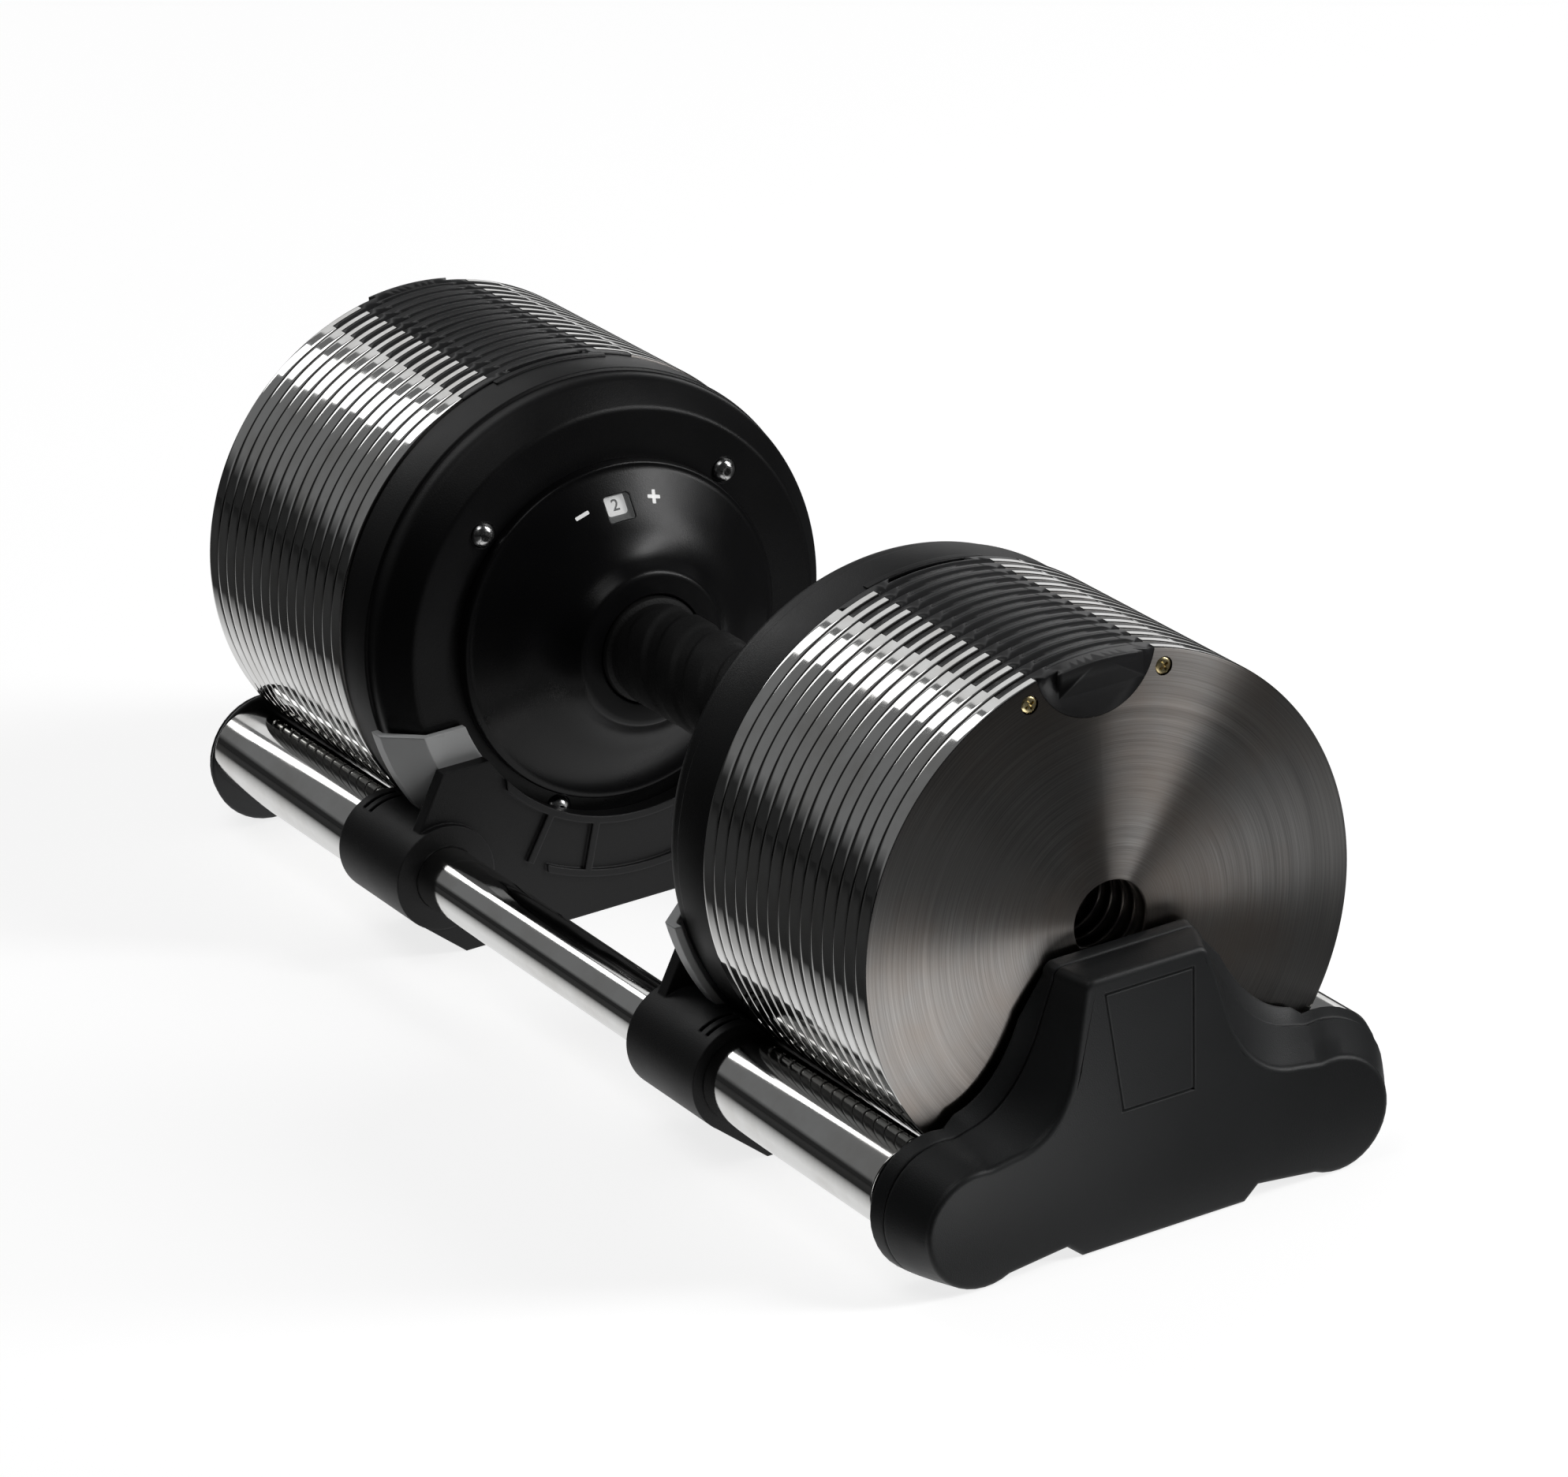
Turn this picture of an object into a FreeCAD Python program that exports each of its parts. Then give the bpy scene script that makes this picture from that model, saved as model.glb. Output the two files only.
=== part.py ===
import FreeCAD, Part
import math
import os

# Adjustable dumbbell with a twist handle, resting in its weight cradle.
# X runs along the handle, Y across it, Z up; the origin is on the base plane,
# under the middle of the handle.  Every piece is drawn about the handle axis
# and lifted by AXIS_Z when it is written out.
V = FreeCAD.Vector

# ---- driving sizes, millimetres ----
AXIS_Z = 91.5            # handle axis above the base plane

# weight plates
PLATES_PER_SIDE = 15
PLATE_R = 82.5
PLATE_T = 5.9
PLATE_GAP = 0.3
PLATE_RIM_CHAMFER = 0.5
PLATE_BORE_R = 12.2
BORE_CHAMFER = 0.8
STACK_X = 116.5          # inner face of the first plate

# plastic insert and its dovetail, one in the top of every plate
INSERT_R = 20.5
INSERT_RISE = 2.0        # insert circle centre above the plate rim
FLANGE_REACH = 11.5      # thin flange beyond the insert circle
FLANGE_T = 3.0
INSERT_CLEAR = 0.15
TONGUE_ROOT_HALF = 12.6
TONGUE_TIP_HALF = 14.4
TONGUE_DEPTH = 2.5
TONGUE_FOOT = 9.0        # tongue bottom below the plate rim
TONGUE_CLEAR = 0.25
INSERT_SCREW_Y = 22.7
INSERT_SCREW_DROP = 9.1  # screw centre below the plate rim
INSERT_SCREW_R = 1.3
INSERT_SCREW_HEAD_R = 2.6
INSERT_SCREW_HEAD_T = 1.3
INSERT_SCREW_LENGTH = 4.6

# housing at each end of the grip
HOUSING_R = 81.8
HOUSING_BAND = 16.0      # rim band next to the plates, along the axis
HOUSING_STEP = 1.0       # step down from the band to the shoulder
SHOULDER_X = 94.0        # straight shoulder ends, bevel starts
BEVEL_INNER_R = 72.7
ANNULUS_X = 84.5         # flat ring that faces the grip
HOUSING_WALL = 3.0
HOUSING_RIM_WALL = 4.5
HOUSING_END_GAP = 0.5    # housing end short of the first plate
TOP_BLOCK_HALF = 20.0
TOP_BLOCK_T = 3.0

# display cap, a trumpet-shaped cover with the weight window
CAP_R = 56.4
CAP_EDGE_X = 82.3
CAP_EDGE_FILLET = 1.9
CONE_SMALL_R = 40.3
CONE_SMALL_X = 72.0
COLLAR_R = 25.1
COLLAR_X = 60.0
COLLAR_ROOM = 2.5        # open ring round the grip in the mouth of the cap
COLLAR_RECESS = 5.0
CAP_WALL = 2.6
WINDOW_R = 44.0
WINDOW_HALF_WIDTH = 4.6
WINDOW_HALF_HEIGHT = 4.4
LENS_T = 1.4
LENS_CLEAR = 0.1

# twist grip and the number wheels on its ends
GRIP_R = 15.7
GRIP_WALL = 1.9
GRIP_END_X = 88.0
GRIP_RIDGE_R = 0.9
GRIP_RIDGES = 12
GRIP_RIDGE_SPAN = 54.0
WHEEL_R = 51.6
WHEEL_T = 1.6
WHEEL_GAP = 0.6          # wheel face behind the cap wall
WHEEL_HUB_WALL = 4.3     # hub over the grip

# core tube, selector rods and end discs
ROD_R = 9.9
ROD_LENGTH = 103.0
ROD_NOSE = 1.5
ROD_FIT = 0.06
CORE_WALL = 1.7
CORE_END_X = 111.6
SLOT_HALF = 2.15
PIN_R = 2.0
PIN_TIP_R = 13.3
PIN_FROM_END = 2.6
DISC_T = 4.0
DISC_FIT = 0.1
POST_R = 4.2

# housing screws
SCREW_CIRCLE_R = 61.3
SCREW_ANGLES = (45.7, 155.0, 205.0, 314.3)
SCREW_R = 1.9
SCREW_HEAD_R = 4.0
SCREW_HEAD_T = 2.4
SCREW_FIT = 0.1
HEX_R = 1.5

# lock pin that blocks the grip when the handle is out of the cradle
LOCK_R = 2.5
LOCK_X = 108.6
LOCK_TOP_R = 60.0
LOCK_TIP_R = 83.8
LOCK_FLANGE_R = 3.2
LOCK_FLANGE_T = 1.5
LOCK_FLANGE_TOP_R = 71.5
LOCK_GUIDE = (62.5, 68.0)
LOCK_FIT = 0.1

# cradle tubes
TUBE_Y = 73.0
SLEEVE_R = 14.0
REST_GAP = 0.3           # plates above the sleeves
INNER_TUBE_R = 10.5
INNER_TUBE_WALL = 1.5
TUBE_FIT = 0.06

# cradle ends: three outlines, from the inner face to the outer face.  Each one
# is (lobe y, lobe z, lobe radius), shoulder, curve middle, tower foot,
# tower half width and tower top, with z measured from the handle axis
END_ROOM = 2.0           # cradle end beyond the last plate
END_BODY_T = 4.8
COVER_T = 14.0
END_INNER = ((66.0, -68.5, 22.0), (58.0, -43.5), (45.0, -36.0), (34.5, -20.0), 25.5, -5.0)
END_PARTING = ((65.0, -69.5, 21.5), (55.0, -46.8), (42.5, -40.0), (32.0, -25.0), 25.0, -5.6)
END_OUTER = ((61.0, -72.8, 18.6), (49.5, -53.4), (36.0, -47.8), (27.0, -33.0), 21.5, -7.0)
TOWER_CORNER = 3.6
COVER_EDGE = 1.8
FOOT_HALF = 28.0
FOOT_RISE = 4.2
COLLAR_WALL = 3.4
PANEL_GROOVE = 0.6
PANEL_LINE = 1.0
PANEL_TOP_HALF = 15.5
PANEL_FOOT_HALF = 12.5
PANEL_HEIGHT = 38.0
PANEL_DROP = 5.0         # panel top below the tower top
COVER_SCREW_R = 2.0
COVER_SCREW_HEAD_R = 3.6
COVER_SCREW_HEAD_T = 2.4
COVER_SCREW_LENGTH = 11.0
COVER_SCREW_PLACES = ((-15.0, -25.0), (15.0, -25.0), (-44.0, -72.0), (44.0, -72.0))

# cradle brackets and guide cheeks under the housings
BRACKET_INNER_X = 74.0
BRACKET_OUTER_X = 114.4
PRONG_X = 76.5
PRONG_T = 4.7
CAP_ROOM = 4.1           # arc of the bracket outside the display cap
HOUSING_ROOM = 0.9
PRONG_TOP = -29.5
PRONG_TOP_OUT = 69.5
SHOULDER_TOP = -50.0
RIB_T = 2.4
RIB_RISE = 1.5
RIB_ARC_GAP = 18.0
SHOULDER_SLOT = 1.6
CHEEK_T = 2.3
CHEEK_TOP = -18.0
CHEEK_FOOT = -52.0
CHEEK_LIP = 3.5          # cheek lip over the housing shoulder, along the axis
CHEEK_INNER_Y = 40.0

# ---- places worked out from the sizes above ----
PITCH = PLATE_T + PLATE_GAP
STACK_END = STACK_X + (PLATES_PER_SIDE - 1) * PITCH + PLATE_T
END_X = STACK_END + END_ROOM
BASE = -AXIS_Z
HOUSING_X = STACK_X - HOUSING_END_GAP
STEP_X = HOUSING_X - HOUSING_BAND
DISC_X = HOUSING_X - DISC_T
CORE_R = ROD_R + ROD_FIT
CORE_OUT_R = CORE_R + CORE_WALL
ROD_INNER_X = HOUSING_X - ROD_LENGTH
ROD_TRAVEL = STACK_END - HOUSING_X
GRIP_BORE_R = GRIP_R - GRIP_WALL
COLLAR_RECESS_R = GRIP_R + COLLAR_ROOM
WHEEL_HUB_R = GRIP_R + WHEEL_HUB_WALL
INSERT_Z = PLATE_R + INSERT_RISE
TUBE_Z = -math.sqrt((PLATE_R + SLEEVE_R + REST_GAP) ** 2 - TUBE_Y ** 2)
END_BODY_X = END_X + END_BODY_T
COVER_X = END_BODY_X + COVER_T
TUBE_COLLAR_R = SLEEVE_R + COLLAR_WALL
PRONG_OUTER_X = PRONG_X + PRONG_T
BRACKET_ARC_R = CAP_R + CAP_ROOM

os.makedirs("parts", exist_ok=True)


def write(name, shape):
    """Check one piece, lift it to its height and write its STEP file."""
    if not shape.isValid() or shape.Volume <= 0:
        raise ValueError(name)
    lifted = shape.copy()
    lifted.translate(V(0, 0, AXIS_Z))
    lifted.exportStep("parts/" + name + ".step")
    print(name, len(shape.Solids), round(shape.Volume / 1000.0, 2))


def mirrored(shape):
    return shape.mirror(V(0, 0, 0), V(1, 0, 0))


def write_pair(name, shape):
    """Write a right-hand piece and its mirror image on the left."""
    write(name + "_right", shape)
    write(name + "_left", mirrored(shape))


def rod(x0, x1, r, y=0.0, z=0.0):
    return Part.makeCylinder(r, x1 - x0, V(x0, y, z), V(1, 0, 0))


def ring(x0, x1, r_in, r_out, y=0.0, z=0.0):
    return rod(x0, x1, r_out, y, z).cut(rod(x0 - 1, x1 + 1, r_in, y, z))


def block(x0, x1, y0, y1, z0, z1):
    return Part.makeBox(x1 - x0, y1 - y0, z1 - z0, V(x0, y0, z0))


def turned(points):
    """Turn a closed outline of (x, radius) points about the handle axis."""
    loop = [V(x, 0, r) for x, r in points]
    loop.append(loop[0])
    face = Part.Face(Part.makePolygon(loop))
    return face.revolve(V(0, 0, 0), V(1, 0, 0), 360)


def profile(x0, x1, steps):
    """Extrude a (y, z) outline along X; a step of two points is an arc."""
    edges = []
    start = steps[0]
    here = start
    for step in steps[1:] + [start]:
        if isinstance(step[0], tuple):
            through, end = step
            arc = Part.Arc(V(x0, *here), V(x0, *through), V(x0, *end))
            edges.append(arc.toShape())
            here = end
        elif math.dist(here, step) > 1e-6:
            edges.append(Part.makeLine(V(x0, *here), V(x0, *step)))
            here = step
    face = Part.Face(Part.Wire(edges))
    return face.extrude(V(x1 - x0, 0, 0))


def both_sides(shape):
    """A shape and its mirror image across the Y = 0 plane, joined."""
    return shape.fuse(shape.mirror(V(0, 0, 0), V(0, 1, 0))).removeSplitter()


def group(shapes):
    return Part.makeCompound(shapes)


# ---- weight plates: steel discs with a notch and a stepped seat ----
def dovetail(x0, depth, spread, foot):
    """Vertical dovetail prism standing out along +X from x0."""
    root = TONGUE_ROOT_HALF + spread
    tip = TONGUE_TIP_HALF + spread
    loop = [V(x0, -root, foot), V(x0, root, foot)]
    loop += [V(x0 + depth, tip, foot), V(x0 + depth, -tip, foot)]
    face = Part.Face(Part.makePolygon(loop + [loop[0]]))
    return face.extrude(V(0, 0, INSERT_Z - foot))


def steel_plate(x):
    """One plate whose inner face is at x."""
    c = PLATE_RIM_CHAMFER
    b = BORE_CHAMFER
    disc = turned([
        (x, PLATE_BORE_R + b),
        (x + b, PLATE_BORE_R),
        (x + PLATE_T - b, PLATE_BORE_R),
        (x + PLATE_T, PLATE_BORE_R + b),
        (x + PLATE_T, PLATE_R - c),
        (x + PLATE_T - c, PLATE_R),
        (x + c, PLATE_R),
        (x, PLATE_R - c),
    ])
    disc = disc.cut(rod(x - 1, x + PLATE_T + 1, INSERT_R, 0, INSERT_Z))
    seat_r = INSERT_R + FLANGE_REACH
    disc = disc.cut(rod(x - 1, x + FLANGE_T, seat_r, 0, INSERT_Z))
    for y in (-INSERT_SCREW_Y, INSERT_SCREW_Y):
        z = PLATE_R - INSERT_SCREW_DROP
        disc = disc.cut(rod(x, x + PLATE_T + 1, INSERT_SCREW_R + 0.05, y, z))
        head_x = x + PLATE_T - INSERT_SCREW_HEAD_T
        disc = disc.cut(rod(head_x, x + PLATE_T + 1, INSERT_SCREW_HEAD_R + 0.05, y, z))
    return disc


def plastic_insert(x):
    """Insert of one plate: flange, body, tongue outward and slot inward."""
    outer = rod(x, x + PLATE_T, PLATE_R - INSERT_CLEAR)
    body = rod(x, x + PLATE_T, INSERT_R - INSERT_CLEAR, 0, INSERT_Z)
    flange_r = INSERT_R + FLANGE_REACH - INSERT_CLEAR
    flange = rod(x, x + FLANGE_T - INSERT_CLEAR, flange_r, 0, INSERT_Z)
    piece = body.fuse(flange).common(outer)
    foot = PLATE_R - TONGUE_FOOT
    trim = rod(x, x + PLATE_T + TONGUE_DEPTH, PLATE_R - INSERT_CLEAR)
    tongue = dovetail(x + PLATE_T - 0.01, TONGUE_DEPTH, 0, foot).common(trim)
    piece = piece.fuse(tongue)
    # the slot takes the tongue of the next plate inward, which starts one gap away
    depth = TONGUE_DEPTH - PLATE_GAP + TONGUE_CLEAR
    slot = dovetail(x - PLATE_GAP, depth + PLATE_GAP, TONGUE_CLEAR, foot - TONGUE_CLEAR)
    piece = piece.cut(slot)
    for y in (-INSERT_SCREW_Y, INSERT_SCREW_Y):
        z = PLATE_R - INSERT_SCREW_DROP
        piece = piece.cut(rod(x, x + FLANGE_T, INSERT_SCREW_R + 0.05, y, z))
    return piece.removeSplitter()


def insert_screw(x, y):
    """Flush screw that holds the insert flange, head on the outer face."""
    z = PLATE_R - INSERT_SCREW_DROP
    end = x + PLATE_T
    shank = rod(end - INSERT_SCREW_LENGTH, end, INSERT_SCREW_R, y, z)
    head = rod(end - INSERT_SCREW_HEAD_T, end, INSERT_SCREW_HEAD_R, y, z)
    drive = rod(end - 0.7, end + 1, 1.0, y, z)
    return shank.fuse(head).cut(drive)


inserts = []
insert_screws = []
for k in range(PLATES_PER_SIDE):
    plate_x = STACK_X + k * PITCH
    write_pair("plate_%02d" % (k + 1), steel_plate(plate_x))
    inserts.append(plastic_insert(plate_x))
    for screw_y in (-INSERT_SCREW_Y, INSERT_SCREW_Y):
        insert_screws.append(insert_screw(plate_x, screw_y))
write_pair("plate_inserts", group(inserts))
write_pair("insert_screws", group(insert_screws))

# ---- housing shell: rim band, step, shoulder, bevel and the flat ring ----
rim_in = HOUSING_R - HOUSING_RIM_WALL
shoulder_r = HOUSING_R - HOUSING_STEP
ring_in = CAP_R - HOUSING_WALL - 3.0
housing = turned([
    (HOUSING_X, HOUSING_R),
    (STEP_X, HOUSING_R),
    (STEP_X - 0.5, shoulder_r),
    (SHOULDER_X, shoulder_r),
    (ANNULUS_X + 0.4, BEVEL_INNER_R + 0.3),
    (ANNULUS_X, BEVEL_INNER_R),
    (ANNULUS_X, ring_in),
    (ANNULUS_X + HOUSING_WALL, ring_in),
    (ANNULUS_X + HOUSING_WALL, BEVEL_INNER_R - 1.2),
    (SHOULDER_X + 1.2, rim_in),
    (HOUSING_X, rim_in),
])
top_block = profile(HOUSING_X - TOP_BLOCK_T, HOUSING_X, [
    (-TOP_BLOCK_HALF, HOUSING_R - 4.0),
    (TOP_BLOCK_HALF, HOUSING_R - 4.0),
    (TOP_BLOCK_HALF - 1.5, PLATE_R - 2.6),
    ((0.0, PLATE_R - INSERT_CLEAR), (1.5 - TOP_BLOCK_HALF, PLATE_R - 2.6)),
])
top_block = top_block.cut(rod(STACK_X - 20, STACK_X, HOUSING_R - 3.5))
housing = housing.fuse(top_block)
screw_places = []
for angle in SCREW_ANGLES:
    a = math.radians(angle)
    screw_places.append((SCREW_CIRCLE_R * math.sin(a), SCREW_CIRCLE_R * math.cos(a)))
for y, z in screw_places:
    housing = housing.cut(rod(ANNULUS_X - 1, ANNULUS_X + 6, SCREW_R + SCREW_FIT, y, z))
lock_hole = Part.makeCylinder(
    LOCK_R + LOCK_FIT, HOUSING_R - rim_in + 4, V(LOCK_X, 0, -HOUSING_R - 2), V(0, 0, 1))
housing = housing.cut(lock_hole)
write_pair("housing", housing.removeSplitter())

# ---- end disc: closes the housing, carries posts, rod guide and lock guide ----
disc = ring(DISC_X, HOUSING_X, ROD_R + ROD_FIT, rim_in - DISC_FIT)
for y, z in screw_places:
    post_x = ANNULUS_X + HOUSING_WALL + DISC_FIT
    disc = disc.fuse(rod(post_x, DISC_X + 0.5, POST_R, y, z))
socket = ring(DISC_X - 6.0, DISC_X + 0.1, CORE_OUT_R + ROD_FIT, CORE_OUT_R + 4.0)
guide_lo, guide_hi = LOCK_GUIDE
guide = block(LOCK_X - 5.0, DISC_X + 0.5, -6.0, 6.0, -guide_hi, -guide_lo)
disc = disc.fuse(socket).fuse(guide)
for y, z in screw_places:
    disc = disc.cut(rod(ANNULUS_X, DISC_X + 1.0, SCREW_R + SCREW_FIT, y, z))
pin_slot = block(DISC_X - 7.0, DISC_X, -SLOT_HALF, SLOT_HALF, 0.0, CORE_OUT_R + 6.0)
disc = disc.cut(pin_slot)
disc = disc.cut(Part.makeCylinder(
    LOCK_R + LOCK_FIT, 12, V(LOCK_X, 0, -guide_hi - 2), V(0, 0, 1)))
write_pair("end_disc", disc.removeSplitter())

# ---- display cap with the weight window ----
flare = [
    (CONE_SMALL_X, CONE_SMALL_R),
    (CONE_SMALL_X - 3.0, CONE_SMALL_R - 6.2),
    (CONE_SMALL_X - 6.0, CONE_SMALL_R - 10.4),
    (COLLAR_X + 2.6, COLLAR_R + 2.0),
    (COLLAR_X + 0.8, COLLAR_R + 0.5),
    (COLLAR_X, COLLAR_R - 0.4),
]
inner_flare = [
    (COLLAR_X + COLLAR_RECESS + CAP_WALL, GRIP_R + 0.5),
    (COLLAR_X + COLLAR_RECESS + CAP_WALL, COLLAR_R - 1.5),
    (CONE_SMALL_X - 0.6, CONE_SMALL_R - 8.5),
    (CONE_SMALL_X + CAP_WALL, CONE_SMALL_R),
    (CAP_EDGE_X + CAP_WALL - CAP_EDGE_FILLET, CAP_R - CAP_WALL - 0.4),
]
cap = turned([
    (ANNULUS_X - 0.05, CAP_R),
    (CAP_EDGE_X, CAP_R),
    (CAP_EDGE_X - 0.55 * CAP_EDGE_FILLET, CAP_R - 0.35 * CAP_EDGE_FILLET),
    (CAP_EDGE_X - CAP_EDGE_FILLET, CAP_R - CAP_EDGE_FILLET),
] + flare + [
    (COLLAR_X, COLLAR_RECESS_R),
    (COLLAR_X + COLLAR_RECESS, COLLAR_RECESS_R),
    (COLLAR_X + COLLAR_RECESS, GRIP_R + 0.5),
] + inner_flare + [
    (ANNULUS_X - 0.05, CAP_R - CAP_WALL - 0.4),
])
window = block(
    CONE_SMALL_X - 4, CAP_EDGE_X + 5, -WINDOW_HALF_WIDTH, WINDOW_HALF_WIDTH,
    WINDOW_R - WINDOW_HALF_HEIGHT, WINDOW_R + WINDOW_HALF_HEIGHT)
cap = cap.cut(window)
write_pair("display_cap", cap)


def cone_slice(offset, thickness):
    """Thin conical shell parallel to the cap face, offset along X."""
    slope = (CAP_EDGE_X - CAP_EDGE_FILLET - CONE_SMALL_X)
    slope /= CAP_R - CAP_EDGE_FILLET - CONE_SMALL_R
    x_in = CONE_SMALL_X + offset
    x_out = x_in + slope * (WHEEL_R - CONE_SMALL_R)
    return [
        (x_in, CONE_SMALL_R),
        (x_out, WHEEL_R),
        (x_out + thickness, WHEEL_R),
        (x_in + thickness, CONE_SMALL_R),
    ]


window_room = block(
    CONE_SMALL_X - 4, CAP_EDGE_X + 5,
    LENS_CLEAR - WINDOW_HALF_WIDTH, WINDOW_HALF_WIDTH - LENS_CLEAR,
    WINDOW_R - WINDOW_HALF_HEIGHT + LENS_CLEAR, WINDOW_R + WINDOW_HALF_HEIGHT - LENS_CLEAR)
lens = turned(cone_slice(0.3, LENS_T)).common(window_room)
write("window_lenses", group([lens, mirrored(lens)]))

# ---- number wheel: printed cone ring, web and hub on the grip end ----
wheel_offset = CAP_WALL + WHEEL_GAP
outer_ring = turned(cone_slice(wheel_offset, WHEEL_T))
web = ring(CONE_SMALL_X + wheel_offset, CONE_SMALL_X + wheel_offset + WHEEL_T,
           GRIP_R + ROD_FIT, CONE_SMALL_R + 0.5)
hub = ring(CONE_SMALL_X + wheel_offset, GRIP_END_X, GRIP_R + ROD_FIT, WHEEL_HUB_R)
wheel = outer_ring.fuse(web).fuse(hub).removeSplitter()
write_pair("number_wheel", wheel)

# ---- grip sleeve with raised ridges between the collars ----
grip = ring(-GRIP_END_X, GRIP_END_X, GRIP_BORE_R, GRIP_R)
step = 2 * GRIP_RIDGE_SPAN / (GRIP_RIDGES - 1)
for k in range(GRIP_RIDGES):
    ridge_x = -GRIP_RIDGE_SPAN + k * step
    ridge = Part.makeTorus(GRIP_R - 0.2, GRIP_RIDGE_R, V(ridge_x, 0, 0), V(1, 0, 0))
    grip = grip.fuse(ridge.cut(rod(ridge_x - 2, ridge_x + 2, GRIP_R - 0.5)))
write("grip_sleeve", grip.removeSplitter())

# ---- core tube: ties the two housings, slotted for the rod pins ----
core = ring(-CORE_END_X, CORE_END_X, CORE_R, CORE_OUT_R)
slot_start = ROD_INNER_X + PIN_FROM_END - SLOT_HALF - 0.2
slot_end = ROD_INNER_X + PIN_FROM_END + ROD_TRAVEL + SLOT_HALF + 0.2
slot_cut = block(slot_start, slot_end, -SLOT_HALF, SLOT_HALF, 0, CORE_OUT_R + 2)
core = core.cut(slot_cut).cut(mirrored(slot_cut))
write("core_tube", core)

# ---- selector rod with its follower pin ----
selector = turned([
    (ROD_INNER_X, 0.0),
    (ROD_INNER_X, ROD_R),
    (HOUSING_X - ROD_NOSE, ROD_R),
    (HOUSING_X, ROD_R - ROD_NOSE),
    (HOUSING_X, 0.0),
])
pin_x = ROD_INNER_X + PIN_FROM_END
pin = Part.makeCylinder(PIN_R, PIN_TIP_R - ROD_R + 4, V(pin_x, 0, ROD_R - 4), V(0, 0, 1))
write_pair("selector_rod", selector.fuse(pin))

# ---- housing screws: button heads with a hexagon socket ----
screws = []
for y, z in screw_places:
    shank = rod(ANNULUS_X - 0.2, DISC_X + 0.8, SCREW_R, y, z)
    dome = Part.makeSphere(SCREW_HEAD_R * 1.25, V(ANNULUS_X + 1.9, y, z))
    head = rod(ANNULUS_X - SCREW_HEAD_T, ANNULUS_X - 0.02, SCREW_HEAD_R, y, z).common(dome)
    hexagon = [
        V(ANNULUS_X - SCREW_HEAD_T - 1, y + HEX_R * math.cos(i * math.pi / 3),
          z + HEX_R * math.sin(i * math.pi / 3))
        for i in range(7)
    ]
    socket_cut = Part.Face(Part.makePolygon(hexagon)).extrude(V(2.3, 0, 0))
    screws.append(head.fuse(shank).cut(socket_cut))
write("housing_screws", group(screws + [mirrored(s) for s in screws]))

# ---- lock pin ----
lock_length = LOCK_TIP_R - LOCK_TOP_R - 1
lock = Part.makeCylinder(LOCK_R, lock_length, V(LOCK_X, 0, 1 - LOCK_TIP_R), V(0, 0, 1))
lock_tip = Part.makeCone(LOCK_R - 1, LOCK_R, 1, V(LOCK_X, 0, -LOCK_TIP_R), V(0, 0, 1))
flange_z = -LOCK_FLANGE_TOP_R - LOCK_FLANGE_T
lock_ring = Part.makeCylinder(LOCK_FLANGE_R, LOCK_FLANGE_T, V(LOCK_X, 0, flange_z), V(0, 0, 1))
write_pair("lock_pin", lock.fuse(lock_tip).fuse(lock_ring).removeSplitter())

# ---- cradle tubes and the sleeves the plates rest on ----
tubes = []
sleeves = []
for y in (-TUBE_Y, TUBE_Y):
    tubes.append(ring(-END_BODY_X, END_BODY_X,
                      INNER_TUBE_R - INNER_TUBE_WALL, INNER_TUBE_R, y, TUBE_Z))
    sleeve = ring(BRACKET_OUTER_X + 0.1, END_X - 0.1, INNER_TUBE_R + TUBE_FIT, SLEEVE_R, y, TUBE_Z)
    sleeves += [sleeve, mirrored(sleeve)]
write("cradle_tubes", group(tubes))
write("tube_sleeves", group(sleeves))

# ---- cradle end: outer cover with the tower, inner body with the collars ----
def end_wire(x, outline):
    """Closed outline of a cradle end at one station, both halves."""
    (lobe_y, lobe_z, lobe_r), shoulder, middle, tower_foot, half, top = outline
    under = math.sqrt(lobe_r ** 2 - 64.0)
    over = math.sqrt(lobe_r ** 2 - 16.0)
    corner = TOWER_CORNER
    steps = [
        (FOOT_HALF, BASE),
        (FOOT_HALF + 5.0, BASE + FOOT_RISE),
        (lobe_y - 8.0, lobe_z - under),
        ((lobe_y + lobe_r, lobe_z), (lobe_y - 4.0, lobe_z + over)),
        shoulder,
        (middle, tower_foot),
        (half, top - corner),
        ((half - 0.3 * corner, top - 0.3 * corner), (half - corner, top)),
    ]
    edges = [Part.makeLine(V(x, -FOOT_HALF, BASE), V(x, FOOT_HALF, BASE))]
    left = []
    here = steps[0]
    for place in steps[1:]:
        if isinstance(place[0], tuple):
            through, end = place
            edges.append(Part.Arc(V(x, *here), V(x, *through), V(x, *end)).toShape())
            left.append(Part.Arc(
                V(x, -end[0], end[1]), V(x, -through[0], through[1]),
                V(x, -here[0], here[1])).toShape())
            here = end
        else:
            edges.append(Part.makeLine(V(x, *here), V(x, *place)))
            left.append(Part.makeLine(V(x, -place[0], place[1]), V(x, -here[0], here[1])))
            here = place
    edges.append(Part.makeLine(V(x, *here), V(x, -here[0], here[1])))
    return Part.Wire(edges + left[::-1])


def drawn_in(outline, d):
    """The same outline with its top and sides a distance further in."""
    (lobe_y, lobe_z, lobe_r), shoulder, middle, tower_foot, half, top = outline
    shoulder = (shoulder[0] - 0.2 * d, shoulder[1] - d)
    middle = (middle[0] - 0.7 * d, middle[1] - 0.7 * d)
    tower_foot = (tower_foot[0] - d, tower_foot[1])
    return (lobe_y, lobe_z, lobe_r - d), shoulder, middle, tower_foot, half - d, top - d


rounded_x = COVER_X - COVER_EDGE
cover = Part.makeLoft(
    [end_wire(END_BODY_X + 0.1, END_PARTING), end_wire(rounded_x, END_OUTER)], True, True)
cover = cover.fuse(Part.makeLoft([
    end_wire(rounded_x, END_OUTER),
    end_wire(COVER_X, drawn_in(END_OUTER, COVER_EDGE)),
], True, True))


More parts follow.
